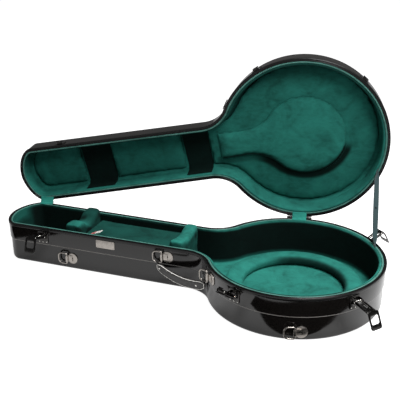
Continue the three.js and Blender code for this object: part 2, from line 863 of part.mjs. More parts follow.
function stayStrap() {
  const still = new THREE.Matrix4();
  const ends = [
    stayStation(stay.baseAzimuth, stayBaseBend - stay.tail, still),
    stayStation(stay.baseAzimuth, stayBaseBend, still),
    stayStation(stay.lidAzimuth, stayLidBend, lidGroup.matrix),
    stayStation(stay.lidAzimuth, stayLidBend + stay.tail, lidGroup.matrix),
  ];
  const run = [ends[0]];
  for (let i = 0; i <= strapSteps; i += 1) {
    const share = i / strapSteps;
    run.push({
      centre: ends[1].centre.clone().lerp(ends[2].centre, share),
      along: ends[1].along.clone().lerp(ends[2].along, share).normalize(),
      out: ends[1].out.clone().lerp(ends[2].out, share).normalize(),
    });
  }
  run.push(ends[3]);
  return loft(run.map(({ centre, along, out }) => [[-1, 1], [1, 1], [1, -1], [-1, -1]].map(([a, b]) => {
    const corner = centre.clone();
    corner.addScaledVector(along, a * stay.width / 2);
    corner.addScaledVector(out, b * stay.thick / 2);
    return corner.toArray();
  })));
}

// Slit through a lining's crown, wide enough for the strap and its plate
function slitCutter(azimuthDegrees, z0, z1) {
  const half = stay.width / 2 + seatGap;
  const wide = stay.thick + stayPlate.thick + 3 * seatGap;
  return boxBetween(-half, half, -wide, 0, z0, z1).applyMatrix4(bodyWall(azimuthDegrees, staySlit.inset, 0));
}

// Small plate that holds one end of the strap in its slit
function stayPlateForm(azimuthDegrees, z0) {
  const inset = staySlit.inset + stay.thick + 2 * seatGap;
  const box = boxBetween(-stay.width / 2, stay.width / 2, -stayPlate.thick, 0, z0, z0 + stayPlate.height);
  return box.applyMatrix4(bodyWall(azimuthDegrees, inset, 0));
}

// Draw latches

function latchPlateForm(place) {
  const frame = frameOf(place);
  const { half, low, high, thick, corner, ear, earRadius } = latchPlate;
  const reach = latchPivot.out + earRadius;
  const cutter = panel(roundedRectangle(-half, half, low, high, corner), -reach, reach);
  const plate = wallPlate(frame, cutter, upperWall, thick, low, high);
  const shape = new THREE.Shape();
  shape.moveTo(-upperWallInset, latchPivot.height - 2 * earRadius);
  shape.lineTo(latchPivot.out, latchPivot.height - earRadius);
  shape.absarc(latchPivot.out, latchPivot.height, earRadius, -Math.PI / 2, Math.PI / 2);
  shape.lineTo(-upperWallInset, latchPivot.height + earRadius);
  const inner = arm.half + seatGap;
  const wall = prism(upperWallInset - seatGap, upperWallInset - seatGap, 0, baseHeight).applyMatrix4(
    frame.clone().invert(),
  );
  const ears = [carve(slab(shape, inner, inner + ear), wall), carve(slab(shape, -inner - ear, -inner), wall)];
  const pin = rodAlongX(latchPivot.pin, -inner - ear, inner + ear, latchPivot.out, latchPivot.height);
  return fuse(plate, fuse(...ears, pin).applyMatrix4(frame));
}

// One side of the arm, round at both pivots
function armSide() {
  const { length, side, round } = arm;
  const lean = Math.asin(side / round);
  const shape = new THREE.Shape();
  shape.absarc(0, 0, round, lean, 2 * Math.PI - lean);
  shape.lineTo(length - round * Math.cos(lean), -side);
  shape.absarc(length, 0, round, Math.PI + lean, 3 * Math.PI - lean);
  shape.closePath();
  return shape;
}

// The arm points out of the wall, its web below; its far pin carries the hook plate
function armForm() {
  const { half, wall, side, length, webFrom, webTo, slot, slotEnd } = arm;
  const outer = slab(armSide(), half - wall, half);
  const inner = slab(armSide(), -half, wall - half);
  const web = boxBetween(-half, half, webFrom, webTo, -side, wall - side);
  const pin = rodAlongX(latchPivot.pin, -half, half, length, 0);
  const bore = rodAlongX(latchPivot.bore, -2 * half, 2 * half, 0, 0);
  const slots = [-1, 1].map((turn) => {
    const x = turn * half / 2;
    return boxBetween(x - slot / 2, x + slot / 2, webFrom + slotEnd, webTo - slotEnd, -2 * side, 0);
  });
  return carve(fuse(outer, inner, web, pin), bore, ...slots);
}

// The hook plate lies back along the arm when folded; the claw beyond its barrel holds the keeper
function hookForm() {
  const { windowHalf, windowFrom, windowTo } = hook;
  const window = roundedRectangle(-windowHalf, windowHalf, windowFrom, windowTo, 3 * hook.rib);
  const outline = roundedRectangle(-hook.half, hook.half, -hook.rib, hook.length, hook.corner);
  outline.holes.push(new THREE.Path(window.getPoints(2)));
  const sheet = new THREE.ExtrudeGeometry(outline, {
    depth: hook.thick,
    bevelEnabled: false,
    curveSegments: 2,
  });
  sheet.applyMatrix4(new THREE.Matrix4().makeBasis(
    new THREE.Vector3(1, 0, 0),
    new THREE.Vector3(0, -1, 0),
    new THREE.Vector3(0, 0, -1),
  ));
  sheet.translate(0, 0, -hook.offset);
  const low = -hook.offset - hook.thick;
  const ribs = [-1, 1].map((side) => {
    const x = side * (hook.half - hook.corner / 2);
    const end = hook.corner - hook.length;
    return boxBetween(x - hook.rib / 2, x + hook.rib / 2, end, -hook.corner, low - hook.rib, low);
  });
  const barrel = rodAlongX(hook.barrel, -hook.neckHalf, hook.neckHalf, 0, 0);
  const neck = boxBetween(-hook.neckHalf, hook.neckHalf, -hook.barrel, hook.rib, low, 0);
  const shape = new THREE.Shape();
  shape.moveTo(0, 0);
  shape.lineTo(claw.rise + claw.thick, 0);
  shape.lineTo(claw.rise + claw.thick, claw.reach);
  shape.lineTo(claw.rise + claw.thick - claw.drop, claw.reach);
  shape.lineTo(claw.rise + claw.thick - claw.drop, claw.reach - claw.thick);
  shape.lineTo(claw.rise, claw.reach - claw.thick);
  shape.lineTo(claw.rise, hook.barrel);
  shape.lineTo(0, hook.barrel);
  const nose = slab(shape, -claw.half, claw.half);
  const bore = rodAlongX(latchPivot.bore, -hook.half, hook.half, 0, 0);
  return carve(fuse(sheet, ...ribs, barrel, neck, nose), bore);
}

function armFrame(place) {
  const local = new THREE.Matrix4().makeRotationX(place.lift * degrees);
  return frameOf(place).multiply(local.setPosition(0, latchPivot.out, latchPivot.height));
}

function hookFrame(place) {
  const local = new THREE.Matrix4().makeRotationX(place.hang * degrees).setPosition(0, arm.length, 0);
  return armFrame(place).multiply(local);
}

// Keeper on the lid: a plate with an upturned lip that the claw drops over
function keeperForm(place) {
  const frame = frameOf(place);
  const { half, low, high, thick, corner, lipHalf, lipLow, lipReach } = keeper;
  const cutter = panel(roundedRectangle(-half, half, low, high, corner), -2 * lipReach, 2 * lipReach);
  const plate = wallPlate(frame, cutter, lidWallInset, thick, low, high);
  const lipHigh = latchPivot.height + arm.length + claw.rise - seatGap;
  const root = seatGap - lidWallInset(lipLow);
  const shape = new THREE.Shape();
  shape.moveTo(root, lipLow);
  shape.lineTo(lipReach, lipLow);
  shape.lineTo(lipReach, lipHigh);
  shape.lineTo(lipReach - thick, lipHigh);
  shape.lineTo(lipReach - thick, lipLow + thick);
  shape.lineTo(root, lipLow + thick);
  return fuse(plate, slab(shape, -lipHalf, lipHalf).applyMatrix4(frame));
}

// Ring plates

function ringFrame(place) {
  return frameOf(place, place.low ? lowerWallInset : upperWallInset, place.height);
}

function ringPlateForm(place) {
  const { disc, thick, screw, barAlong, barOut, bore } = ringSize;
  const insetAt = place.low ? lowerWall : upperWall;
  const frame = ringFrame(place);
  const cutter = carve(
    rodAlongY(disc, -disc, disc, 0, 0, 2 * rodSides),
    rodAlongY(screw, -2 * disc, 2 * disc, 0, 0),
  );
  const plate = wallPlate(frame, cutter, insetAt, thick, place.height - disc, place.height + disc);
  const eye = rodAlongZ(ringEye.radius, -ringEye.half, ringEye.half, barAlong, barOut, wireSides);
  const tongue = boxBetween(0, barAlong, thick - seatGap, barOut - bore, -ringEye.half, ringEye.half);
  const hole = rodAlongZ(bore, -2 * ringEye.half, 2 * ringEye.half, barAlong, barOut, wireSides);
  const wall = ringEyeClearance(place);
  return fuse(plate, carve(fuse(eye, tongue), hole, wall).applyMatrix4(frame));
}

// The wall beside a ring plate, a seat's gap proud, in the plate's own frame
function ringEyeClearance(place) {
  const inset = (place.low ? lowerWallInset : upperWallInset) - seatGap;
  const wall = prism(inset, inset, 0, baseHeight);
  return wall.applyMatrix4(ringFrame(place).invert());
}

// Centre line of a ring: its bar on the hinge axis, its far side rounded, in x and z
function ringPath() {
  const { depth, half, barCorner, outerCorner } = ringLoop;
  const shape = new THREE.Shape();
  shape.moveTo(0, 0);
  shape.lineTo(0, barCorner - half);
  shape.absarc(barCorner, barCorner - half, barCorner, Math.PI, 1.5 * Math.PI);
  shape.lineTo(depth - outerCorner, -half);
  shape.absarc(depth - outerCorner, outerCorner - half, outerCorner, -Math.PI / 2, 0);
  shape.lineTo(depth, half - outerCorner);
  shape.absarc(depth - outerCorner, half - outerCorner, outerCorner, 0, Math.PI / 2);
  shape.lineTo(barCorner, half);
  shape.absarc(barCorner, half - barCorner, barCorner, Math.PI / 2, Math.PI);
  const points = shape.getPoints(2);
  return points.filter((point, i) => i === 0 || point.distanceTo(points[i - 1]) > seatGap);
}

function ringForm() {
  const path = ringPath();
  const rings = path.map((point, i) => {
    const before = path[(i + path.length - 1) % path.length];
    const after = path[(i + 1) % path.length];
    const run = after.clone().sub(before).normalize();
    const section = [];
    for (let side = 0; side < wireSides; side += 1) {
      const angle = 2 * Math.PI * side / wireSides;
      const out = ringSize.wire * Math.cos(angle);
      section.push([point.x + run.y * out, ringSize.wire * Math.sin(angle), point.y - run.x * out]);
    }
    return section;
  });
  return hoop(rings);
}

function ringMatrix(place) {
  const turn = new THREE.Matrix4().makeRotationZ(place.turned * degrees);
  turn.setPosition(ringSize.barAlong, ringSize.barOut, 0);
  return ringFrame(place).multiply(turn);
}

// Handle: a padded band that hangs in a curve below the line through its two loops

function handleEnd(name) {
  const place = ringPlaces.find((ring) => ring.name === name);
  return new THREE.Vector3(ringLoop.grip, 0, -ringLoop.half).applyMatrix4(ringMatrix(place));
}

function handleMatrix() {
  const left = handleEnd('handle_left');
  const right = handleEnd('handle_right');
  const middle = left.clone().lerp(right, 0.5);
  const run = left.clone().sub(right).normalize();
  const out = new THREE.Vector3(run.y, -run.x, 0).normalize().negate();
  const down = new THREE.Vector3().crossVectors(out, run);
  return {
    matrix: new THREE.Matrix4().makeBasis(down, out, run).setPosition(middle),
    half: left.distanceTo(right) / 2,
  };
}

function handleForm() {
  const { matrix, half } = handleMatrix();
  const reach = half + handleLoop.half;
  const rings = [];
  for (let i = 0; i <= handleSteps; i += 1) {
    const along = reach * (2 * i / handleSteps - 1);
    const share = Math.min(1, (reach - Math.abs(along)) / handle.taper);
    const round = Math.sin(share * Math.PI / 2);
    const tall = handle.endHalf + (handle.half - handle.endHalf) * round;
    const centre = handle.drop + handle.sag * (1 - (along / reach) ** 2);
    const thick = (handle.endThick + (handle.thick - handle.endThick) * round) / 2;
    const edge = handle.edge;
    rings.push([
      [-tall, edge - thick],
      [-tall + edge, -thick],
      [tall - edge, -thick],
      [tall, edge - thick],
      [tall, thick - edge],
      [tall - edge, thick],
      [-tall + edge, thick],
      [-tall, thick - edge],
    ].map(([down, out]) => [centre + down, out, along]));
  }
  const band = loft(rings);
  const loops = [-1, 1].map((side) => {
    const centre = side * half;
    return rodAlongZ(handleLoop.outer, centre - handleLoop.half, centre + handleLoop.half, 0, 0);
  });
  const bore = rodAlongZ(handleLoop.bore, -2 * reach, 2 * reach, 0, 0);
  return carve(fuse(band, ...loops), bore).applyMatrix4(matrix);
}

// Plates on the outside

// The badge lies between the neck's ring plate and the handle's first one, placed by its share of the way
function badgeForm() {
  const { half, placeShare } = badge;
  const [first, , last] = ringPlaces;
  const frame = neckWall(first.neckX + (last.neckX - first.neckX) * placeShare, 0, 0);
  const cutter = panel(roundedRectangle(-half, half, badge.low, badge.high, badge.corner), -half, half);
  return wallPlate(frame, cutter, upperWall, badge.thick, badge.low, badge.high);
}

function guardForm() {
  const frame = bodyWall(guard.azimuth, 0, 0);
  const outline = roundedRectangle(-guard.half, guard.half, guard.low, guard.high, guard.corner);
  const outside = () => 0;
  const cutter = panel(outline, -guard.half, guard.half);
  return wallPlate(frame, cutter, outside, guard.thick, guard.low, guard.high);
}

// The base

addPiece(part, 'base_shell', baseShell(), 'shell');
addPiece(part, 'base_valance', valance(valanceLow, baseHeight), 'valance');
addPiece(part, 'base_welt', welt(baseWeltHeight), 'welt');
addPiece(part, 'base_lining', baseLining(), 'plush');
addPiece(part, 'ring_pad', ringPadForm(), 'plush');
addPiece(part, 'neck_block_head', neckBlock(headBlock), 'plush');
addPiece(part, 'neck_block_heel', neckBlock(heelBlock), 'plush');
addPiece(part, 'compartment_rail_front', compartmentRail(-1), 'darkPlush');
addPiece(part, 'compartment_rail_back', compartmentRail(1), 'darkPlush');
addPiece(part, 'compartment_lid', compartmentBoard(), 'plush');
addPiece(part, 'compartment_ribbon', ribbonPull(), 'ribbon');
addPiece(part, 'badge_plate', badgeForm(), 'nickel');

// The lid, drawn closed and turned open as one group

addPiece(lidGroup, 'lid_shell', lidShell(), 'shell');
addPiece(lidGroup, 'lid_valance', valance(lidRim, lidValanceHigh), 'valance');
addPiece(lidGroup, 'lid_welt', welt(lidWeltHeight), 'welt');
addPiece(lidGroup, 'lid_lining', lidLining(), 'plush');
for (const pad of lidPads) {
  addPiece(lidGroup, pad.name, lidPad(pad), 'plush');
}
addPiece(lidGroup, 'lid_pillow', pillowForm(), 'plush');
addPiece(lidGroup, 'lid_guard_plate', guardForm(), 'blackMetal');

// What joins the two halves

for (const hinge of hinges) {
  addPiece(part, `hinge_base_leaf_${hinge.name}`, hingeLeaf(hinge, false), 'blackMetal');
  addPiece(lidGroup, `hinge_lid_leaf_${hinge.name}`, hingeLeaf(hinge, true), 'blackMetal');
  addPiece(part, `hinge_pin_${hinge.name}`, hingePin(hinge), 'nickel');
  addPiece(part, `hinge_cover_${hinge.name}`, hingeCover(hinge), 'darkPlush');
}

addPiece(part, 'stay_strap', stayStrap(), 'webbing');
addPiece(part, 'stay_plate_base', stayPlateForm(stay.baseAzimuth, stayBaseBend - stay.tail), 'nickel');
const stayPlateTop = stayLidBend + stay.tail - stayPlate.height;
addPiece(lidGroup, 'stay_plate_lid', stayPlateForm(stay.lidAzimuth, stayPlateTop), 'nickel');

// Latches, rings and handle

for (const place of latchPlaces) {
  addPiece(part, `latch_plate_${place.name}`, latchPlateForm(place), 'blackMetal');
  addPiece(part, `latch_arm_${place.name}`, armForm().applyMatrix4(armFrame(place)), 'blackMetal');
  addPiece(part, `latch_hook_${place.name}`, hookForm().applyMatrix4(hookFrame(place)), 'blackMetal');
  addPiece(lidGroup, `latch_keeper_${place.name}`, keeperForm(place), 'blackMetal');
}

for (const place of ringPlaces) {
  addPiece(part, `ring_plate_${place.name}`, ringPlateForm(place), 'nickel');
  addPiece(part, `ring_${place.name}`, ringForm().applyMatrix4(ringMatrix(place)), 'nickel');
}

addPiece(part, 'handle', handleForm(), 'blackVinyl');

part.add(lidGroup);

export default part;
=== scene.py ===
import math

import bmesh
import bpy
from mathutils import Matrix, Vector, kdtree, noise


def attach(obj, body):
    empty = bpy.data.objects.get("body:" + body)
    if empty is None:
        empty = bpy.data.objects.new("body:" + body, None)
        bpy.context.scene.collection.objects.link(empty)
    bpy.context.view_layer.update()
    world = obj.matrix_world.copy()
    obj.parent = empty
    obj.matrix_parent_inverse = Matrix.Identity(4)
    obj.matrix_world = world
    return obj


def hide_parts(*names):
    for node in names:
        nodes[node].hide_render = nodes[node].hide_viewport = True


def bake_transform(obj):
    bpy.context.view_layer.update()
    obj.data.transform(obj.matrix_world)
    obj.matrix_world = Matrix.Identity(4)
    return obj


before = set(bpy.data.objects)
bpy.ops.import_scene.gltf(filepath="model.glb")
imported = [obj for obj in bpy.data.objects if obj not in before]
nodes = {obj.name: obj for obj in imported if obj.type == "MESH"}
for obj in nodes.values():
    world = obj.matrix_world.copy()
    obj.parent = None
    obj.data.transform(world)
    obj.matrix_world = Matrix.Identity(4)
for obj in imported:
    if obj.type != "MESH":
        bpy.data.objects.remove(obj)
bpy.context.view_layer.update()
mm = 0.001
print("frame loaded")


def addToScene(name, data):
    obj = bpy.data.objects.new(name, data)
    bpy.context.scene.collection.objects.link(obj)
    return obj


def newMaterial(name):
    material = bpy.data.materials.new(name)
    material.use_nodes = True
    return material, material.node_tree


def nodeOf(tree, kind, links=(), **settings):
    node = tree.nodes.new(kind)
    for key, value in settings.items():
        setattr(node, key, value)
    for socket, source in links:
        if isinstance(source, (int, float, tuple, str)):
            node.inputs[socket].default_value = source
        else:
            tree.links.new(source, node.inputs[socket])
    return node


# Camera at the photograph's view

cameraView = {
    "place": (0.33589, -1.45033, 0.83044),
    "right": (0.93415, 0.35681, -0.00774),
    "up": (-0.12786, 0.35485, 0.92614),
    "forward": (-0.3332, 0.86416, -0.3771),
    "lens": 66.63,
    "sensor": 36,
    "far": 100,
}


def makeCamera():
    data = bpy.data.cameras.new("camera")
    data.lens = cameraView["lens"]
    data.sensor_width = cameraView["sensor"]
    data.clip_end = cameraView["far"]
    camera = addToScene("camera", data)
    turn = Matrix((cameraView["right"], cameraView["up"], [-c for c in cameraView["forward"]])).transposed()
    camera.matrix_world = Matrix.Translation(cameraView["place"]) @ turn.to_4x4()
    bpy.context.scene.camera = camera


makeCamera()

# Studio: pale floor, white surroundings and two soft lamps

studio = {
    "floorColour": (0.60, 0.60, 0.60, 1),
    "floorLift": 0.98,       # light of the floor that only the camera sees
    "floorMirrored": 0.37,   # and that only reflections see
    "floorGlow": 0.07,       # and that falls on everything
    "floorHalf": 14,
    "floorHigh": -0.0005,
    "ambient": 0.05,
    "mirrored": 0.14,        # how bright the surroundings are in reflections
    "keyPower": 32,
    "keySize": 0.8,
    "keyPlace": (0.35, 0.02, 1.6),
    "fillPower": 25,
    "fillSize": 0.8,
    "fillPlace": (0.75, -1.0, 1.7),
    "aim": (-0.12, 0.0, 0.05),
    "gleam": 0.15,
    "cardHigh": 0.0004,
    "cardColour": (0.002, 0.002, 0.002, 1),
}

# Dark cards on the floor, seen only as reflections in the glossy walls, as outlines in millimetres

cards = [
    [(23, -211), (133, -184), (201, -155), (250, -118), (330, -120), (300, -260), (130, -352), (-120, -330),
     (-105, -262), (-50, -242)],
    [(-900, -60), (-760, -120), (-700, -170), (-664, -214), (-664, -330), (-900, -330)],
    [(-330, -206), (-175, -206), (-150, -222), (-200, -236), (-330, -222)],
]


def raysOf(tree, camera, glossy, other):
    path = nodeOf(tree, "ShaderNodeLightPath")
    value = other
    for label, extra in (("Is Camera Ray", camera - other), ("Is Glossy Ray", glossy - other)):
        links = [(0, path.outputs[label]), (1, extra), (2, value)]
        value = nodeOf(tree, "ShaderNodeMath", links, operation="MULTIPLY_ADD").outputs[0]
    return value


def makeLamp(name, place, size, power):
    data = bpy.data.lights.new(name, "AREA")
    data.shape = "DISK"
    data.size = size
    data.energy = power
    data.specular_factor = studio["gleam"]
    lamp = addToScene(name, data)
    lamp.location = place
    aim = Vector(studio["aim"]) - Vector(place)
    lamp.rotation_euler = aim.to_track_quat("-Z", "Y").to_euler()


def makeCard(name, points):
    mesh = bpy.data.meshes.new(name)
    mesh.from_pydata([(x * mm, y * mm, 0) for x, y in points], [], [tuple(range(len(points)))])
    card = addToScene(name, mesh)
    card.location.z = studio["cardHigh"]
    material, tree = newMaterial(name)
    shader = tree.nodes["Principled BSDF"]
    shader.inputs["Base Color"].default_value = studio["cardColour"]
    shader.inputs["Specular IOR Level"].default_value = 0
    mesh.materials.append(material)
    card.visible_camera = False
    card.visible_diffuse = False
    card.visible_shadow = False
    card.visible_transmission = False


def makeStudio():
    world = bpy.data.worlds.new("world")
    bpy.context.scene.world = world
    world.use_nodes = True
    tree = world.node_tree
    back = tree.nodes["Background"]
    back.inputs["Color"].default_value = (1, 1, 1, 1)
    tree.links.new(raysOf(tree, 1, studio["mirrored"], studio["ambient"]), back.inputs["Strength"])

    half = studio["floorHalf"]
    mesh = bpy.data.meshes.new("floor")
    corners = [(-half, -half, 0), (half, -half, 0), (half, half, 0), (-half, half, 0)]
    mesh.from_pydata(corners, [], [(0, 1, 2, 3)])
    floor = addToScene("floor", mesh)
    floor.location.z = studio["floorHigh"]
    material, tree = newMaterial("paleFloor")
    tree.nodes.remove(tree.nodes["Principled BSDF"])
    diffuse = nodeOf(tree, "ShaderNodeBsdfDiffuse", [("Color", studio["floorColour"])])
    lift = raysOf(tree, studio["floorLift"], studio["floorMirrored"], studio["floorGlow"])
    glow = nodeOf(tree, "ShaderNodeEmission", [("Strength", lift)])
    both = nodeOf(tree, "ShaderNodeAddShader", [(0, diffuse.outputs[0]), (1, glow.outputs[0])])
    tree.links.new(both.outputs[0], tree.nodes["Material Output"].inputs["Surface"])
    mesh.materials.append(material)

    for i, outlinePoints in enumerate(cards):
        makeCard("card" + str(i + 1), outlinePoints)
    makeLamp("keyLamp", studio["keyPlace"], studio["keySize"], studio["keyPower"])
    makeLamp("fillLamp", studio["fillPlace"], studio["fillSize"], studio["fillPower"])
    bpy.context.scene.view_settings.view_transform = "Standard"


makeStudio()
print("camera and studio made")

# Finishes: every one procedural, read from object coordinates or the piece's own map


def newFinish(name, colour, roughness, metallic=0.0, **sockets):
    material, tree = newMaterial(name)
    shader = tree.nodes["Principled BSDF"]
    shader.inputs["Base Color"].default_value = (*colour, 1)
    shader.inputs["Roughness"].default_value = roughness
    shader.inputs["Metallic"].default_value = metallic
    for socket, value in sockets.items():
        shader.inputs[socket.replace("_", " ")].default_value = value
    return material, tree, shader


def placeOf(tree, fromMap=False, scale=(1, 1, 1)):
    place = nodeOf(tree, "ShaderNodeTexCoord").outputs["UV" if fromMap else "Object"]
    return nodeOf(tree, "ShaderNodeMapping", [("Vector", place), ("Scale", scale)]).outputs["Vector"]


def noiseAt(tree, place, scale, detail=3.0, roughness=0.55, distortion=0.0):
    return nodeOf(tree, "ShaderNodeTexNoise", [
        ("Vector", place), ("Scale", scale), ("Detail", detail), ("Roughness", roughness),
        ("Distortion", distortion),
    ]).outputs["Fac"]


def rampOf(tree, value, stops):
    node = nodeOf(tree, "ShaderNodeValToRGB", [("Fac", value)])
    while len(node.color_ramp.elements) < len(stops):
        node.color_ramp.elements.new(0.5)
    for element, (position, colour) in zip(node.color_ramp.elements, stops):
        element.position = position
        element.color = (*colour, 1)
    return node.outputs["Color"]


def rangeOf(tree, value, low, high, fromLow=0.3, fromHigh=0.7):
    return nodeOf(tree, "ShaderNodeMapRange", [
        ("Value", value), ("From Min", fromLow), ("From Max", fromHigh), ("To Min", low), ("To Max", high),
    ]).outputs["Result"]


def sumOf(tree, first, second, share=0.5):
    links = [(0, second), (1, share), (2, first)]
    return nodeOf(tree, "ShaderNodeMath", links, operation="MULTIPLY_ADD").outputs[0]


def mixOf(tree, factor, first, second):
    links = [("Factor", factor), ("A", first), ("B", second)]
    return nodeOf(tree, "ShaderNodeMix", links, data_type="RGBA").outputs["Result"]


def bumpOf(tree, shader, height, distance, strength=1.0):
    links = [("Height", height), ("Distance", distance), ("Strength", strength)]
    node = nodeOf(tree, "ShaderNodeBump", links)
    tree.links.new(node.outputs["Normal"], shader.inputs["Normal"])


def tint(colour, factor):
    return tuple(c * factor for c in colour)


plushLook = {
    "rough": 0.92,
    "gleam": 0.12,
    "pile": 1400,
    "sheen": 0.1,
    "sheenRough": 0.42,
    "sheenTint": 4,
    "shadeTint": 0.01,         # colour of the painted shade, as a share of the plush colour
    "patch": 17,
    "brush": 60,
    "brushLong": 2.2,
    "brushShare": 0.45,
    "bump": 0.00035,
    "bumpShare": 0.8,
    "light": 1.28,
    "dark": 0.66,
}


def plushFinish(name, colour):
    look = plushLook
    material, tree, shader = newFinish(name, colour, look["rough"], Sheen_Roughness=look["sheenRough"])
    shader.inputs["Sheen Tint"].default_value = (*tint(colour, look["sheenTint"]), 1)
    shader.inputs["Specular IOR Level"].default_value = look["gleam"]
    place = placeOf(tree)
    patches = noiseAt(tree, place, look["patch"], 4, 0.62, 0.7)
    strokes = noiseAt(tree, placeOf(tree, scale=(1, 1, look["brushLong"])), look["brush"], 3, 0.6, 0.5)
    both = sumOf(tree, patches, strokes, look["brushShare"])
    colours = rampOf(tree, rangeOf(tree, both, 0, 1, 0.52, 0.92), [
        (0.0, tint(colour, look["dark"])),
        (0.45, colour),
        (1.0, tint(colour, look["light"])),
    ])
    # Painted shade: this attribute darkens the plush towards the shade colour and takes away its sheen
    paintedShade = nodeOf(tree, "ShaderNodeAttribute", attribute_name="paintedShade").outputs["Fac"]
    shaded = mixOf(tree, paintedShade, colours, (*tint(colour, look["shadeTint"]), 1))
    tree.links.new(shaded, shader.inputs["Base Color"])
    tree.links.new(rangeOf(tree, paintedShade, look["sheen"], 0, 0, 1), shader.inputs["Sheen Weight"])
    pile = noiseAt(tree, place, look["pile"], 2, 0.7)
    bumpOf(tree, shader, sumOf(tree, pile, strokes, look["bumpShare"]), look["bump"])
    return material


def setRoughness(tree, shader, value, low, high):
    tree.links.new(rangeOf(tree, value, low, high), shader.inputs["Roughness"])


def setColours(tree, shader, value, stops):
    tree.links.new(rampOf(tree, value, stops), shader.inputs["Base Color"])


glossLook = {
    "smear": 9,
    "smooth": 0.75,
    "rough": 1.5,
    "patch": 5,
    "dark": 0.75,
    "light": 1.25,
    "wave": 16,
    "peelShare": 0.05,
}


def glossFinish(name, colour, roughness, grain, depth, shine=0.5):
    look = glossLook
    material, tree, shader = newFinish(name, colour, roughness, Specular_IOR_Level=shine)
    place = placeOf(tree)
    smear = noiseAt(tree, place, look["smear"], 5, 0.6)
    setRoughness(tree, shader, smear, roughness * look["smooth"], roughness * look["rough"])
    setColours(tree, shader, noiseAt(tree, place, look["patch"], 3), [
        (0.3, tint(colour, look["dark"])),
        (0.7, tint(colour, look["light"])),
    ])
    waves = noiseAt(tree, place, look["wave"], 1, 0.4)
    peel = noiseAt(tree, place, grain, 2, 0.5)
    bumpOf(tree, shader, sumOf(tree, waves, peel, look["peelShare"]), depth)
    return material


metalLook = {
    "wear": 130, "scratch": 0.35, "patch": 55, "dark": 0.82, "brushing": 900, "stretch": 9, "bump": 0.00004,
}


def metalFinish(name, colour, roughness):
    look = metalLook
    material, tree, shader = newFinish(name, colour, roughness, 1.0)
    place = placeOf(tree)
    wear = noiseAt(tree, place, look["wear"], 6, 0.65)
    setRoughness(tree, shader, wear, roughness * (1 - look["scratch"]), roughness * (1 + 2 * look["scratch"]))
    setColours(tree, shader, noiseAt(tree, place, look["patch"], 4), [
        (0.3, tint(colour, look["dark"])),
        (0.72, colour),
    ])
    lines = noiseAt(tree, placeOf(tree, scale=(1, 1, look["stretch"])), look["brushing"], 2)
    bumpOf(tree, shader, lines, look["bump"])
    return material


vinylLook = {
    "creases": 6, "creaseShare": 0.4, "bump": 0.0004, "smooth": 0.8, "rough": 1.3, "dark": 0.7, "light": 1.35,
}


def vinylFinish(name, colour, roughness, grain):
    look = vinylLook
    material, tree, shader = newFinish(name, colour, roughness)
    place = placeOf(tree)
    links = [("Vector", place), ("Scale", grain)]
    cells = nodeOf(tree, "ShaderNodeTexVoronoi", links, feature="DISTANCE_TO_EDGE")
    creases = noiseAt(tree, place, grain / look["creases"], 4)
    grains = sumOf(tree, cells.outputs["Distance"], creases, look["creaseShare"])
    bumpOf(tree, shader, grains, look["bump"], 0.8)
    setRoughness(tree, shader, creases, roughness * look["smooth"], roughness * look["rough"])
    setColours(tree, shader, creases, [
        (0.3, tint(colour, look["dark"])),
        (0.7, tint(colour, look["light"])),
    ])
    return material


clothLook = {"sheen": 0.3, "sway": 0.4, "soil": 120, "soilShare": 0.8, "dark": 0.6, "light": 1.3}


def clothFinish(name, colours, weave, depth, split=None):
    look = clothLook
    material, tree, shader = newFinish(name, colours[0], 0.85, Sheen_Weight=look["sheen"])
    place = placeOf(tree, fromMap=True)
    links = [("Vector", place), ("Scale", weave), ("Distortion", look["sway"])]
    ribs = nodeOf(tree, "ShaderNodeTexWave", links, wave_type="BANDS", bands_direction="X").outputs["Fac"]
    soil = noiseAt(tree, placeOf(tree), look["soil"], 4)
    mixed = sumOf(tree, ribs, soil, look["soilShare"])
    shade = rampOf(tree, rangeOf(tree, mixed, 0, 1, 0.3, 1.5), [
        (0.0, tint(colours[0], look["dark"])),
        (1.0, tint(colours[0], look["light"])),
    ])
    if split:
        halves = nodeOf(tree, "ShaderNodeSeparateXYZ", [(0, place)])
        side = rampOf(tree, rangeOf(tree, halves.outputs["Y"], 0, 1, 0, 1), [
            (split, (0, 0, 0)),
            (split + 0.02, (1, 1, 1)),
        ])
        shade = mixOf(tree, side, shade, (*colours[1], 1))
    tree.links.new(shade, shader.inputs["Base Color"])
    bumpOf(tree, shader, ribs, depth)
    return material


plushGreen = (0.017, 0.148, 0.119)
finishes = {
    "shell": glossFinish("blackGelcoat", (0.0055, 0.0048, 0.0044), 0.09, 420, 0.0005),
    # The ledge's lighter colour is a painted highlight along the step of the shell
    "ledge": glossFinish("ledgeHighlight", (0.15, 0.14, 0.13), 0.3, 420, 0.0005),
    "valance": glossFinish("blackRim", (0.004, 0.004, 0.004), 0.24, 700, 0.0002, 0.28),
    "plush": plushFinish("greenPlush", plushGreen),
    "dark_plush": plushFinish("greenPlushCover", tint(plushGreen, 1.5)),
    # The board's plush is darkened: painted shade of the recess it lies in
    "board_plush_painted_shade": plushFinish("greenPlushBoardShaded", tint(plushGreen, 0.33)),
    "band_plush": plushFinish("blackPlushBand", tint(plushGreen, 0.045)),
    "welt": plushFinish("paleWelt", (0.075, 0.20, 0.17)),
    "nickel": metalFinish("wornNickel", (0.40, 0.37, 0.34), 0.26),
    "bright_nickel": metalFinish("brightNickel", (0.78, 0.76, 0.72), 0.18),
    "black_metal": metalFinish("blackChrome", (0.06, 0.058, 0.056), 0.2),
    "black_vinyl": vinylFinish("blackVinyl", (0.014, 0.013, 0.012), 0.42, 900),
    "piping": vinylFinish("palePiping", (0.86, 0.84, 0.80), 0.5, 1500),
    "black_screw": metalFinish("blackScrew", (0.02, 0.02, 0.02), 0.3),
    "webbing": clothFinish("greyGreenWebbing", [(0.013, 0.038, 0.042)], 2.6, 0.0003),
    "ribbon": clothFinish("redRibbon", [(0.42, 0.03, 0.02), (0.78, 0.74, 0.70)], 2.2, 0.0001, 0.7),
}
print("finishes made")

# Plan of the case, in millimetres, drawn in by body on the round part and by neck along the neck

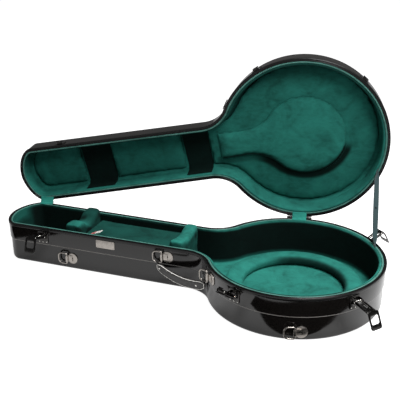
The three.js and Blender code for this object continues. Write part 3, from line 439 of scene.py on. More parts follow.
case = {
    "bodyRadius": 200,
    "neckLength": 728,
    "neckEndHalf": 74,
    "neckHeelHalf": 68,
    "waistFillet": 72,
    "endCap": 46,
    "capPower": 1.8,
    "base": 100,
    "lid": 58,
    "rimGap": 0.4,
    "hingeReach": 3,
    "hingeDegrees": 10.781,
    "openDegrees": 84.3,
    "seat": 0.3,
    "bodySteps": 84,
    "filletSteps": 18,
    "wallSteps": 52,
    "capSteps": 22,
}
neckSlope = (case["neckHeelHalf"] - case["neckEndHalf"]) / (case["neckLength"] - case["bodyRadius"])


def outline(body, neck):
    radius = case["bodyRadius"] - body
    fillet = case["waistFillet"] + body
    endHalf = case["neckEndHalf"] - neck
    cap = case["endCap"] - neck
    length = case["neckLength"] - neck
    crossing = endHalf + neckSlope * case["neckLength"]
    reach = radius + fillet
    rise = crossing + fillet / math.cos(math.atan(neckSlope))
    spread = 1 + neckSlope ** 2
    half = neckSlope * rise / spread
    filletX = -half - math.sqrt(half ** 2 - (rise ** 2 - reach ** 2) / spread)
    filletY = neckSlope * filletX + rise
    meet = math.atan2(filletY, filletX)
    points = [
        (radius * math.cos(meet * i / case["bodySteps"]), radius * math.sin(meet * i / case["bodySteps"]))
        for i in range(case["bodySteps"] + 1)
    ]
    start, stop = meet + math.pi, 1.5 * math.pi + math.atan(neckSlope)
    for i in range(1, case["filletSteps"] + 1):
        angle = start + (stop - start) * i / case["filletSteps"]
        points.append((filletX + fillet * math.cos(angle), filletY + fillet * math.sin(angle)))
    capX = cap - length
    capY = neckSlope * capX + crossing
    fromX, fromY = points[-1]
    for i in range(1, case["wallSteps"]):
        share = i / case["wallSteps"]
        points.append((fromX + (capX - fromX) * share, fromY + (capY - fromY) * share))
    for i in range(case["capSteps"] + 1):
        angle = math.pi / 2 * i / case["capSteps"]
        along = math.sin(angle) ** (2 / case["capPower"])
        across = max(math.cos(angle), 0) ** (2 / case["capPower"])
        points.append((capX - cap * along, 0 if i == case["capSteps"] else capY * across))
    return points + [(x, -y) for x, y in reversed(points[1:-1])]


def ringAt(z, body, neck=None):
    return [Vector((x, y, z)) for x, y in outline(body, body if neck is None else neck)]


hingeTurn = math.radians(case["hingeDegrees"])
hingeAlong = Vector((math.cos(hingeTurn), math.sin(hingeTurn), 0))
hingeAcross = Vector((-math.sin(hingeTurn), math.cos(hingeTurn), 0))
hingePoint = hingeAcross * (case["bodyRadius"] + case["hingeReach"])
hingePoint.z = case["base"] + case["rimGap"] / 2
lidMatrix = (
    Matrix.Translation(hingePoint)
    @ Matrix.Rotation(-math.radians(case["openDegrees"]), 4, hingeAlong)
    @ Matrix.Translation(-hingePoint)
)
intoLid = lidMatrix.inverted()
still = Matrix.Identity(4)

# Meshes


def editMesh(mesh, change):
    edit = bmesh.new()
    edit.from_mesh(mesh)
    change(edit)
    edit.to_mesh(mesh)
    edit.free()


def finishMesh(obj, sharp=35.0):
    limit = math.radians(sharp)

    def smooth(edit):
        bmesh.ops.recalc_face_normals(edit, faces=edit.faces)
        for face in edit.faces:
            face.smooth = True
        for edge in edit.edges:
            edge.smooth = len(edge.link_faces) == 2 and edge.calc_face_angle(0) < limit

    editMesh(obj.data, smooth)


def addObject(name, mesh, finish):
    obj = addToScene(name, mesh)
    mesh.materials.clear()
    mesh.materials.append(finishes[finish])
    return obj


# Tying a piece to its body and hiding the imported solids it stands for


def settle(obj, body, finish, *stoodFor):
    if body:
        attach(obj, body)
    if stoodFor:
        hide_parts(*stoodFor)


def addPiece(name, points, faces, finish, body, stoodFor=(), matrix=still, sharp=35.0):
    mesh = bpy.data.meshes.new(name)
    mesh.from_pydata([(matrix @ Vector(p)) * mm for p in points], [], faces)
    obj = addObject(name, mesh, finish)
    finishMesh(obj, sharp)
    settle(obj, body, finish, *stoodFor)
    return obj


def sideFaces(count, levels, closed):
    faces = []
    for level in range(levels if closed else levels - 1):
        nextLevel = (level + 1) % levels
        for i in range(count):
            j = (i + 1) % count
            faces.append((level * count + i, level * count + j, nextLevel * count + j, nextLevel * count + i))
    return faces


def stack(name, rings, finish, body, stoodFor=(), matrix=still, closed=False, sharp=35.0):
    count = len(rings[0])
    points = [p for ring in rings for p in ring]
    faces = sideFaces(count, len(rings), closed)
    if not closed:
        faces.append(tuple(reversed(range(count))))
        faces.append(tuple(range(len(points) - count, len(points))))
    return addPiece(name, points, faces, finish, body, stoodFor, matrix, sharp)


def arcStops(steps):
    return [math.pi / 2 * i / steps for i in range(steps + 1)]


def eased01(value, start, stop):
    share = max(0.0, min(1.0, (value - start) / (stop - start)))
    return share * share * (3 - 2 * share)


# Shells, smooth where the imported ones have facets

shellLook = {
    "wall": 6.6,
    "floor": 3.4,
    "upper": 1.2,
    "lower": 3.8,
    "ledge": 55,
    "ledgeLead": 0.4,
    "ledgeRise": 3.4,
    "baseEdge": 9,
    "lidEdge": 12,
    "lidDraft": 2.6,
    "lip": 0.5,
    "valance": 7,
    "ledgeSteps": 8,
    "edgeSteps": 8,
}


def baseShellRings():
    s = shellLook
    rings = [
        ringAt(s["baseEdge"] * (1 - math.cos(a)), s["lower"] + s["baseEdge"] * (1 - math.sin(a)))
        for a in arcStops(s["edgeSteps"])
    ]
    for i in range(s["ledgeSteps"] + 1):
        share = i / s["ledgeSteps"]
        inset = s["lower"] + (s["upper"] - s["lower"]) * eased01(share, 0, 1)
        rings.append(ringAt(s["ledge"] - s["ledgeLead"] + s["ledgeRise"] * share, inset))
    top = case["base"] - s["valance"] - case["seat"]
    rings += [ringAt(top - s["lip"], s["upper"]), ringAt(top, s["upper"] + s["lip"]), ringAt(top, s["wall"])]
    rings += [ringAt(s["floor"] + s["baseEdge"], s["wall"])]
    rings += [ringAt(s["floor"], s["wall"] + s["baseEdge"] - s["floor"])]
    return rings


def lidShellRings():
    s = shellLook
    top = case["base"] + case["lid"]
    low = case["base"] + case["rimGap"] + s["valance"] + case["seat"]
    rings = [
        ringAt(
            top - s["lidEdge"] * (1 - math.cos(a)),
            s["upper"] + s["lidDraft"] + s["lidEdge"] * (1 - math.sin(a)),
        )
        for a in arcStops(s["edgeSteps"])
    ]
    rings += [ringAt(low + s["lip"], s["upper"]), ringAt(low, s["upper"] + s["lip"]), ringAt(low, s["wall"])]
    rings += [ringAt(top - s["floor"] - s["lidEdge"], s["wall"] + s["lidDraft"])]
    rings += [ringAt(top - s["floor"], s["wall"] + s["lidEdge"])]
    return rings


baseShell = stack("baseShell", baseShellRings(), "shell", "base", ["base_shell"])
# The ledge faces take the lighter finish, a painted highlight along the step
baseShell.data.materials.append(finishes["ledge"])
for polygon in baseShell.data.polygons:
    rise = polygon.center.z / mm - shellLook["ledge"]
    if -shellLook["ledgeLead"] < rise < shellLook["ledgeRise"]:
        polygon.material_index = 1
stack("lidShell", lidShellRings(), "shell", "lid", ["lid_shell"], lidMatrix)

# Rims: a rounded outer bead, a groove and an inner bead, as (inset, height over the shell's edge)

rimProfile = [
    (6.6, 0), (0.3, 0), (0, 0.35), (0, 5.7), (0.3, 6.5), (1.0, 7.0), (1.8, 7.0), (2.5, 6.5), (2.7, 5.6),
    (3.8, 5.6), (4.0, 6.5), (4.6, 6.95), (5.6, 6.95), (6.3, 6.6), (6.6, 5.9),
]


def rimRings(edge, side):
    return [ringAt(edge + side * height, inset) for inset, height in rimProfile]


rimLow = case["base"] - shellLook["valance"]
rimHigh = case["base"] + case["rimGap"] + shellLook["valance"]
stack("baseRim", rimRings(rimLow, 1), "valance", "base", ["base_valance"], closed=True, sharp=50)
stack("lidRim", rimRings(rimHigh, -1), "valance", "lid", ["lid_valance"], lidMatrix, closed=True, sharp=50)

# Welts just inside the rims

weltLook = {"radius": 2.1, "sides": 12, "inset": 9.0}


def weltRings(centre):
    rings = []
    for i in range(weltLook["sides"]):
        angle = 2 * math.pi * i / weltLook["sides"]
        rings.append(ringAt(
            centre + weltLook["radius"] * math.sin(angle),
            weltLook["inset"] - weltLook["radius"] * math.cos(angle),
        ))
    return rings


baseWelt = case["base"] - weltLook["radius"] - case["seat"]
lidWelt = case["base"] + case["rimGap"] + weltLook["radius"] + case["seat"]
stack("baseWelt", weltRings(baseWelt), "welt", "base", ["base_welt"], closed=True)
stack("lidWelt", weltRings(lidWelt), "welt", "lid", ["lid_welt"], lidMatrix, closed=True)

# Plush linings: crowned under the welt, gently puckered down the wall

liningLook = {
    "inset": 6.9,
    "innerWelt": 11.4,
    "body": 18,
    "neck": 13,
    "crown": 3.8,
    "crownDrop": 10,
    "crownPower": 3.0,
    "floorTop": 11.7,
    "low": 3.7,
    "backing": 1.6,
    "pucker": 0.55,
    "wave": 0.035,
    "waveRise": 0.35,
    "baseSeed": 3.0,
    "lidSeed": 9.0,
    "wallRings": 9,
    "crownSteps": 8,
    "cove": 5,
    "coveSteps": 4,
}
lidBackingHigh = case["base"] + case["lid"] - shellLook["floor"] - case["seat"]
lidBackingLow = lidBackingHigh - liningLook["backing"]
lidBackingInset = shellLook["wall"] + shellLook["lidEdge"] + 2 * case["seat"] + liningLook["backing"]


def puckered(ring, amount, seed):
    moved = []
    count = len(ring)
    wave = liningLook["wave"]
    for i, point in enumerate(ring):
        run = ring[(i + 1) % count] - ring[i - 1]
        inward = Vector((-run.y, run.x, 0)).normalized()
        place = Vector((point.x * wave, point.y * wave, point.z * wave * liningLook["waveRise"] + seed))
        moved.append(point + inward * amount * (0.5 + 0.5 * noise.noise(place)))
    return moved


def crownRings(high, drop, side):
    look = liningLook
    rings = []
    start = look["innerWelt"] + case["seat"]
    for angle in arcStops(look["crownSteps"]):
        share = math.sin(angle) ** (2 / look["crownPower"])
        body = start + (look["body"] - start) * share
        neck = start + (look["neck"] - start) * share
        fall = 1 - max(math.cos(angle), 0) ** (2 / look["crownPower"])
        rings.append(ringAt(high - side * drop * fall, body, neck))
    return rings


def wallRings(fromZ, toZ, seed):
    look = liningLook
    rings = []
    for i in range(1, look["wallRings"] + 1):
        share = i / look["wallRings"]
        swell = look["pucker"] * math.sin(math.pi * share) ** 0.5
        rings.append(puckered(ringAt(fromZ + (toZ - fromZ) * share, look["body"], look["neck"]), swell, seed))
    return rings


def baseLiningRings():
    look = liningLook
    edge = shellLook["baseEdge"]
    under = baseWelt - weltLook["radius"] - case["seat"]
    crown = under + look["crown"]
    rings = [
        ringAt(look["low"], shellLook["wall"] + edge),
        ringAt(look["low"] + edge, look["inset"]),
        ringAt(under, look["inset"]),
        ringAt(under, look["innerWelt"]),
    ]
    rings += crownRings(crown, look["crownDrop"], 1)
    rings += wallRings(crown - look["crownDrop"], look["floorTop"] + look["cove"], look["baseSeed"])
    for angle in arcStops(look["coveSteps"])[1:]:
        inset = look["cove"] * (1 - math.cos(angle))
        rings.append(ringAt(
            look["floorTop"] + look["cove"] * (1 - math.sin(angle)),
            look["body"] + inset,
            look["neck"] + inset,
        ))
    return rings


def lidLiningRings():
    look = liningLook
    s = shellLook
    over = lidWelt + weltLook["radius"] + case["seat"]
    crown = over - look["crown"]
    rings = [
        ringAt(lidBackingHigh, s["wall"] + s["lidEdge"] + case["seat"]),
        ringAt(lidBackingHigh - s["lidEdge"], look["inset"] + s["lidDraft"]),
        ringAt(over, look["inset"]),
        ringAt(over, look["innerWelt"]),
    ]
    rings += crownRings(crown, look["crownDrop"], -1)
    rings += wallRings(crown + look["crownDrop"], lidBackingLow - s["lidEdge"], look["lidSeed"])
    rings.append(ringAt(lidBackingLow, lidBackingInset + look["body"] - look["neck"], lidBackingInset))
    return rings


# Writes a painted shade value on each vertex, by which the plush finish darkens its colour
def brush(obj, valueAt):
    field = obj.data.attributes.new("paintedShade", "FLOAT", "POINT")
    for vertex, item in zip(obj.data.vertices, field.data):
        item.value = valueAt(vertex)


# Painted shade on the plush, from 0 to 1: how far its colour is darkened towards the shade colour, standing in
# for shade on walls facing the camera, deep in the lining, on sides and undersides and towards the top of the
# open lid. Each eased01 call says where, in millimetres or as part of a direction, the painted shade starts
# and where it is full

paintedShadeLook = {
    "viewer": (-0.2, -0.98, 0),
    "wall": 0.97,
    "wallTop": 99.5,
    "wallLow": 0.85,
    "crownFar": 0.4,
    "crownNeck": 0.45,
    "crownNear": 0.75,
    "crownEnd": 0.4,
    "block": 0.7,
    "headSide": 0.85,
    "headFar": 0.75,
    "mottle": 0.45,
    "mottleScale": 45,
    "underside": 0.85,
    "lid": 0.12,
    "lidTop": 0.55,
    "pad": 0.3,
    "ring": 0.85,
    "ringTowards": 48,
}


# Painted shade on the lining: walls facing the camera and deep down are darker, and so is the crown at the far
# side, along the neck, at the near side and at the end
def wallShade(vertex):
    look = paintedShadeLook
    x, y, height = vertex.co / mm
    depth = look["wallTop"] - height
    facing = eased01(vertex.normal.dot(Vector(look["viewer"])), -0.2, 0.4)
    wall = max(facing * eased01(depth, 0, 6), look["wallLow"] * eased01(depth, 6, 34))
    wall *= eased01(height, 12, 20)
    far, along = eased01(y, 20, 60), eased01(-x, 190, 260)
    near = eased01(-y, 90, 150) * (1 - along)
    end = eased01(-x, 640, 700) * (1 - far)
    crown = far * (look["crownFar"] + look["crownNeck"] * along)
    crown += look["crownNear"] * near + look["crownEnd"] * end
    return look["wall"] * max(wall, crown * eased01(height, 80, 88))


def mottled(vertex):
    return paintedShadeLook["mottle"] * max(0, noise.noise(vertex.co * paintedShadeLook["mottleScale"]))


# Painted shade on the sides of the blocks, with random mottling added
def blockShade(vertex):
    return min(0.9, paintedShadeLook["block"] * eased01(-vertex.normal.z, -0.8, 0.1) + mottled(vertex))


# Painted shade on the sides and far part of the head block, with random mottling added
def headShade(vertex):
    side = paintedShadeLook["headSide"] * eased01(-vertex.normal.z, -0.8, 0.1)
    far = paintedShadeLook["headFar"] * eased01(vertex.co.y / mm, -25, 15)
    return min(0.95, max(side, far) + mottled(vertex))


# Painted shade on faces that point down
def undersideShade(vertex):
    return paintedShadeLook["underside"] * eased01(-vertex.normal.z, 0.1, 0.6)


# Painted shade on the lid lining: on undersides, a little everywhere, and more towards the top of the open lid
def lidShade(vertex):
    place = intoLid @ (vertex.co / mm)
    return max(undersideShade(vertex), paintedShadeLook["lid"] + paintedShadeLook["lidTop"] * eased01(-place.y, -20, 60))


# Painted shade over the whole of the two neck pads of the lid
def padShade(vertex):
    return paintedShadeLook["pad"]


# Painted shade on the inner slope of the ring pad, on its far and right side
def ringShade(vertex):
    reach = math.hypot(vertex.co.x, vertex.co.y) / mm
    facing = math.cos(math.atan2(vertex.co.y, vertex.co.x) - math.radians(paintedShadeLook["ringTowards"]))
    return paintedShadeLook["ring"] * eased01(-reach, -125, -114) * eased01(facing, -0.1, 0.55)


# Both linings get painted shade
baseLining = stack("baseLining", baseLiningRings(), "plush", "base", ["base_lining"], sharp=60)
brush(baseLining, wallShade)
lidLining = stack("lidLining", lidLiningRings(), "plush", "lid", ["lid_lining"], lidMatrix, sharp=60)
brush(lidLining, lidShade)

# Black bands across the lid where the two blocks of the base come up

bandLook = {"head": (-567, -489), "heel": (-297, -233), "low": 112.5, "lift": 0.8, "thick": 0.6, "steps": 14}


def halfWidth(x, body, neck):
    points = outline(body, neck)
    for (x0, y0), (x1, y1) in zip(points, points[1:]):
        if x1 <= x <= x0:
            return y0 + (y1 - y0) * (x0 - x) / max(x0 - x1, 0.001)
    return 0


def lidBand(name, fromX, toX):
    look = bandLook
    wallTop = lidBackingLow - shellLook["lidEdge"]
    spread = liningLook["body"] - liningLook["neck"]
    rings = []
    for i in range(look["steps"] + 1):
        x = fromX + (toX - fromX) * i / look["steps"]
        sides = []
        for off in (look["lift"], look["lift"] + look["thick"]):
            wall = halfWidth(x, liningLook["body"] + off, liningLook["neck"] + off)
            foot = halfWidth(x, lidBackingInset + spread + off, lidBackingInset + off)
            half = [(wall, look["low"]), (wall, (look["low"] + wallTop) / 2), (wall, wallTop)]
            half.append((foot, lidBackingLow - off))
            sides.append(half + [(-y, z) for y, z in reversed(half)])
        rings.append([Vector((x, y, z)) for y, z in sides[0] + sides[1][::-1]])
    return stack(name, rings, "band_plush", "lid", (), lidMatrix, sharp=60)


lidBand("lidBandHead", *bandLook["head"])
lidBand("lidBandHeel", *bandLook["heel"])
print("shells, rims and linings made")

# Padded pieces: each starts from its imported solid, is remeshed, swells as cloth and keeps off its neighbours


def mergedCopy(nodeName, name):
    mesh = nodes[nodeName].data.copy()
    mesh.name = name
    editMesh(mesh, lambda edit: bmesh.ops.remove_doubles(edit, verts=edit.verts, dist=0.00002))
    return mesh


def evaluated(obj, name):
    graph = bpy.context.evaluated_depsgraph_get()
    graph.update()
    return bpy.data.meshes.new_from_object(obj.evaluated_get(graph), depsgraph=graph)


def bakeModifiers(obj):
    mesh = evaluated(obj, obj.name)
    old = obj.data
    obj.modifiers.clear()
    obj.data = mesh
    mesh.name = obj.name
    if old.users == 0:
        bpy.data.meshes.remove(old)


swellLook = {"pressure": 4.0, "stiffness": 12, "bending": 0.5, "quality": 4, "frames": 20}


def swell(obj, cap):
    look = swellLook
    start = [v.co.copy() for v in obj.data.vertices]
    cloth = obj.modifiers.new("cloth", "CLOTH")
    settings = cloth.settings
    settings.use_pressure = True
    settings.uniform_pressure_force = look["pressure"]
    settings.effector_weights.gravity = 0
    settings.tension_stiffness = look["stiffness"]
    settings.compression_stiffness = look["stiffness"]
    settings.bending_stiffness = look["bending"]
    settings.quality = look["quality"]
    cloth.point_cache.frame_start = 1
    cloth.point_cache.frame_end = look["frames"]
    scene = bpy.context.scene
    for step in range(1, look["frames"] + 1):
        scene.frame_set(step)
    moved = evaluated(obj, obj.name)
    obj.modifiers.remove(cloth)
    scene.frame_set(1)
    for vertex, before, after in zip(obj.data.vertices, start, moved.vertices):
        shift = after.co - before
        if shift.length > cap:
            shift = shift.normalized() * cap
        vertex.co = before + shift
    bpy.data.meshes.remove(moved)


def pad(nodeName, body, seat, paintedShade=None, voxel=5, cap=2, smooth=6, finish="plush"):
    name = "padded_" + nodeName
    obj = addObject(name, mergedCopy(nodeName, name), finish)
    obj.matrix_world = Matrix.Identity(4)
    remesh = obj.modifiers.new("remesh", "REMESH")
    remesh.mode = "VOXEL"
    remesh.voxel_size = voxel * mm
    soften = obj.modifiers.new("soften", "SMOOTH")
    soften.factor = 0.5
    soften.iterations = smooth
    bakeModifiers(obj)
    swell(obj, cap * mm)
    seatPlane(obj, *seat)
    finer = obj.modifiers.new("finer", "SUBSURF")
    finer.levels = finer.render_levels = 1
    bakeModifiers(obj)
    seatPlane(obj, *seat)
    for polygon in obj.data.polygons:
        polygon.use_smooth = True
    if paintedShade:
        brush(obj, paintedShade)
    settle(obj, body, finish, nodeName)
    return obj


def seatPlane(obj, point, normal):
    for vertex in obj.data.vertices:
        over = (vertex.co - point).dot(normal)
        if over > 0:
            vertex.co -= normal * over


def lidSeat(height):
    point = (lidMatrix @ Vector((0, 0, height))) * mm
    return point, lidMatrix.to_3x3() @ Vector((0, 0, 1))


def baseSeat(height):
    return Vector((0, 0, height * mm)), Vector((0, 0, -1))


pillowLook = {
    "radius": 101,
    "neckHalf": 36,
    "fillet": 90,
    "tip": -213,
    "offset": 3,
    "piping": 1.1,
    "out": 0.8,
    "under": 0.95,           # painted shadow on the body pad along the pillow's foot
    "around": 0.1,           # painted shade all round it
    "top": 0.5,              # and more painted shade towards the top of the open lid
    "footSteps": 4,
    "roundSteps": 60,
    "filletSteps": 14,
    "point": 3,
    "pipingLow": 0.9,
}


def pillowPath(height):
    look = pillowLook
    radius, fillet = look["radius"] + look["out"], look["fillet"] - look["out"]
    reach, rise = radius + fillet, look["neckHalf"] + look["out"] + fillet
    filletX = -math.sqrt(reach ** 2 - rise ** 2)
    meet = math.atan2(rise, filletX)
    steps = look["roundSteps"]
    half = [
        (radius * math.cos(meet * i / steps), radius * math.sin(meet * i / steps))
        for i in range(steps + 1)
    ]
    for i in range(1, look["filletSteps"] + 1):
        angle = meet + math.pi + (math.pi / 2 - meet) * i / look["filletSteps"]
        half.append((filletX + fillet * math.cos(angle), rise + fillet * math.sin(angle)))
    half.append(((half[-1][0] + look["tip"]) / 2, look["neckHalf"] + look["out"]))
    half.append((look["tip"] + look["point"], look["neckHalf"] + look["out"]))
    mirrored = [(x, -y) for x, y in reversed(half)]
    return [Vector((x + look["offset"], y, height)) for x, y in half] + [
        Vector((x + look["offset"], y, height)) for x, y in mirrored[:-1]
    ]


footPoints = pillowPath(0)
footSteps = pillowLook["footSteps"]
pillowFoot = kdtree.KDTree(footSteps * len(footPoints))
for i, point in enumerate(footPoints):
    for step in range(footSteps):
        pillowFoot.insert(footPoints[i - 1].lerp(point, step / footSteps), footSteps * i + step)
pillowFoot.balance()


# Painted shadow on the body pad along the lower edge of the pillow, and painted shade towards the top of the
# open lid
def underPillowShade(vertex):
    place = intoLid @ (vertex.co / mm)
    place.z = 0
    nearest, index, distance = pillowFoot.find(place)
    under = pillowLook["under"] * eased01(-distance, -19, -8) * eased01(nearest.y, 22, 50)
    return max(under, pillowLook["around"] + pillowLook["top"] * eased01(-place.y, 100, 185))


# Sizes in millimetres: cap is how far a pad may swell, voxel how fine its mesh is

padLook = {
    "lidThick": 10,
    "pillow": {"voxel": 4, "cap": 2.5},
    "block": {"voxel": 3.5, "cap": 1.5},
    "board": {"voxel": 3, "cap": 0.6, "smooth": 2},
    "boardTop": 82,
}
padHigh = lidBackingLow - case["seat"]
padLow = padHigh - padLook["lidThick"]
floorSeat = baseSeat(liningLook["floorTop"] + case["seat"])
boardSeat = Vector((0, 0, padLook["boardTop"] * mm)), Vector((0, 0, 1))
# The lid pads, pillow, ring pad and blocks get painted shade
for padName in ("lid_pad_head", "lid_pad_middle"):
    pad(padName, "lid", lidSeat(padHigh), padShade)
pad("lid_pad_body", "lid", lidSeat(padHigh), underPillowShade)
pad("lid_pillow", "lid", lidSeat(padLow - case["seat"]), undersideShade, **padLook["pillow"])
pad("ring_pad", "base", floorSeat, ringShade)
pad("neck_block_head", "base", floorSeat, headShade, **padLook["block"])
pad("neck_block_heel", "base", floorSeat, blockShade, **padLook["block"])
pad("compartment_lid", "compartment_board", boardSeat, finish="board_plush_painted_shade", **padLook["board"])
print("padded pieces made")

# Metal fittings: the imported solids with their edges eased


easedLook = {"width": 0.3, "badge": 0.25, "leaf": 0.2, "segments": 2, "flat": 0.6, "sharp": 32, "smooth": 40}


def eased(nodeName, body, finish, width="width"):
    look = easedLook
    name = "eased_" + nodeName
    flat = math.radians(look["flat"])
    mesh = mergedCopy(nodeName, name)
    editMesh(mesh, lambda edit: bmesh.ops.dissolve_limit(
        edit, angle_limit=flat, verts=edit.verts, edges=edit.edges))
    obj = addObject(name, mesh, finish)
    obj.matrix_world = Matrix.Identity(4)
    bevel = obj.modifiers.new("bevel", "BEVEL")
    bevel.width = look[width] * mm
    bevel.segments = look["segments"]
    bevel.limit_method = "ANGLE"
    bevel.angle_limit = math.radians(look["sharp"])
    bevel.harden_normals = False
    bakeModifiers(obj)
    finishMesh(obj, look["smooth"])
    settle(obj, body, finish, nodeName)
    return obj


for place in ("neck", "front", "side", "back"):
    eased("latch_plate_" + place, "base", "black_metal")
    eased("latch_arm_" + place, "arm_" + place, "black_metal")
    eased("latch_hook_" + place, "hook_" + place, "black_metal")
    eased("latch_keeper_" + place, "lid", "black_metal")
for place in ("neck", "front", "handle_left", "handle_right"):
    eased("ring_plate_" + place, "base", "nickel")
eased("badge_plate", "base", "nickel", "badge")
eased("lid_guard_plate", "lid", "black_metal")
for place in ("neck", "body"):
    eased("hinge_base_leaf_" + place, "base", "black_metal", "leaf")
    eased("hinge_lid_leaf_" + place, "lid", "black_metal", "leaf")
print("fittings made")

# Frames on the case wall: x along the wall, y straight out of it, z up


def wallFrame(x, y, outX, outY, z):
    out = Vector((outX, outY, 0)).normalized()
    along = out.cross(Vector((0, 0, 1)))
    turn = Matrix((along, out, (0, 0, 1))).transposed().to_4x4()
    return Matrix.Translation((x, y, z)) @ turn


def bodyWall(azimuth, inset=0, z=0):
    x, y = math.cos(math.radians(azimuth)), math.sin(math.radians(azimuth))
    radius = case["bodyRadius"] - inset
    return wallFrame(radius * x, radius * y, x, y, z)


def neckWall(x, inset=0, z=0, side=-1):
    y = case["neckEndHalf"] + neckSlope * (x + case["neckLength"]) - inset
    return wallFrame(x, side * y, -neckSlope, side, z)


latchPlaces = {
    "neck": {"frame": neckWall(-603), "lift": 20},
    "front": {"frame": bodyWall(-113.5), "lift": 35},
    "side": {"frame": bodyWall(-38), "lift": -8},
    "back": {"frame": bodyWall(49), "lift": 27},
}
latchLook = {
    "pivotOut": 8, "pivotHigh": 81, "arm": 38, "earEnd": 11.0, "armEnd": 9, "wire": 0.6, "wireSides": 8,
}
ringPlaces = {
    "neck": {"frame": neckWall(-527, 3.8, 30), "turned": 0},
    "front": {"frame": bodyWall(-71, 3.8, 22), "turned": 0},
    "handle_left": {"frame": neckWall(-277, 1.2, 76), "turned": 0},
    "handle_right": {"frame": bodyWall(-137, 1.2, 78), "turned": 26},
}
ringLook = {
    "barAlong": 13, "barOut": 5.4, "wire": 1.75, "depth": 22, "half": 13.25, "barCorner": 3.5,
    "outerCorner": 9, "grip": 9, "sides": 14, "cornerSteps": 7,
}


def pivotMatrix(place):
    return place["frame"] @ Matrix.Translation((0, latchLook["pivotOut"], latchLook["pivotHigh"]))


def armMatrix(place):
    return pivotMatrix(place) @ Matrix.Rotation(math.radians(place["lift"]), 4, "X")


def ringMatrix(place):
    pivot = Matrix.Translation((ringLook["barAlong"], ringLook["barOut"], 0))
    return place["frame"] @ pivot @ Matrix.Rotation(math.radians(place["turned"]), 4, "Z")


# Tubes swept along a path, open with round ends or closed in a loop

capStops = (math.pi / 5.2, math.pi / 2.6)


def circle(centre, across, over, radius, sides, start=0.0):
    ring = []
    for k in range(sides):
        angle = 2 * math.pi * k / sides - start
        ring.append(centre + (across * math.cos(angle) + over * math.sin(angle)) * radius)
    return ring


def tube(name, path, radius, finish, body, sides=12, closed=False, stoodFor=(), matrix=still):
    path = [Vector(p) for p in path]
    count = len(path)
    runs = []
    for i in range(count):
        before = path[i - 1] if closed or i > 0 else path[0]
        after = path[(i + 1) % count] if closed or i + 1 < count else path[-1]
        runs.append((after - before).normalized())
    across = runs[0].orthogonal().normalized()
    sections = []
    for point, run in zip(path, runs):
        across = (across - run * across.dot(run)).normalized()
        sections.append((point, run, across.copy(), run.cross(across)))
    slip = 0.0
    if closed:
        first, last = sections[0], sections[-1]
        moved = (last[2] - first[1] * last[2].dot(first[1])).normalized()
        slip = math.atan2(moved.dot(first[3]), moved.dot(first[2]))
    rings = [
        circle(point, across, over, radius, sides, slip * i / count)
        for i, (point, run, across, over) in enumerate(sections)
    ]
    if not closed:
        for end, sign in ((0, -1), (-1, 1)):
            point, run, across, over = sections[end]
            caps = [
                circle(point + run * sign * radius * math.sin(a), across, over, radius * math.cos(a), sides)
                for a in capStops
            ]
            rings = caps[::-1] + rings if end == 0 else rings + caps
    return stack(name, rings, finish, body, stoodFor, matrix, closed=closed, sharp=60)


def roundedLoop():
    look = ringLook
    bar, barZ = look["barCorner"], look["half"] - look["barCorner"]
    outer = look["outerCorner"]
    outerX, outerZ = look["depth"] - outer, look["half"] - outer
    corners = [
        (bar, -barZ, bar, math.pi),
        (outerX, -outerZ, outer, 1.5 * math.pi),
        (outerX, outerZ, outer, 0),
        (bar, barZ, bar, math.pi / 2),
    ]
    points = []
    for x, z, radius, start in corners:
        for step in range(look["cornerSteps"] + 1):
            angle = start + math.pi / 2 * step / look["cornerSteps"]
            points.append((x + radius * math.cos(angle), 0, z + radius * math.sin(angle)))
    return points


for name, place in ringPlaces.items():
    tube("ringLoop_" + name, roundedLoop(), ringLook["wire"], "nickel", "ring_" + name, ringLook["sides"],
         True, ["ring_" + name], ringMatrix(place))


# Wire and spring of each latch arm, in the arm's frame: x along its pivot, y down the arm

wireLoop = [
    (-6, 3, 0.6), (-6, 12, 0.4), (-6, 29, 0.2), (-5.4, 31.4, 0.2), (-3.4, 32.6, 0.2), (3.4, 32.6, 0.2),
    (5.4, 31.4, 0.2), (6, 29, 0.2), (6, 12, 0.4), (6, 3, 0.6),
]
springLook = {
    "radius": 2.6, "half": 5.2, "turns": 8, "turnSteps": 14,
    "wire": 0.5, "sides": 6, "leg": 0.6, "legHigh": 1.4,
}


def springCoil():
    look = springLook
    radius, half = look["radius"], look["half"]
    steps = look["turns"] * look["turnSteps"]
    points = [(-half - look["leg"], radius, radius * look["legHigh"])]
    for i in range(steps + 1):
        angle = 2 * math.pi * i / look["turnSteps"]
        points.append((half * (2 * i / steps - 1), radius * math.cos(angle), radius * math.sin(angle)))
    points.append((half + look["leg"], radius, radius * look["legHigh"]))
    return points


for name, place in latchPlaces.items():
    arm = armMatrix(place)
    tube("latchSpring_" + name, springCoil(), springLook["wire"], "bright_nickel", "arm_" + name,
         springLook["sides"], matrix=arm)
    tube("latchWire_" + name, wireLoop, latchLook["wire"], "bright_nickel", "arm_" + name,
         latchLook["wireSides"], matrix=arm)
print("rings and springs made")

# Screws, rivets and stitches: one small form each, set on rows of points, sized by radius and height

fastenerLook = {
    "segments": 14,
    "rings": 8,
    "crossLong": 1.25,
    "crossThin": 0.26,
    "stitchSegments": 8,
    "stitchRings": 6,
    "stitchThin": 0.3,
    "plate": (1.5, 0.8),
    "pivot": (2.3, 1.0),
    "arm": (2.2, 0.9),
    "keeper": (1.9, 0.9),
    "ring": (1.75, 0.8),
    "badge": (0.9, 0.5),
    "guard": (1.9, 0.9),
    "hinge": (2.1, 0.9),
    "handle": (2.6, 1.3),
    "stitch": (0.95, 0.28),
    "stud": (2.4, 1.0),
}


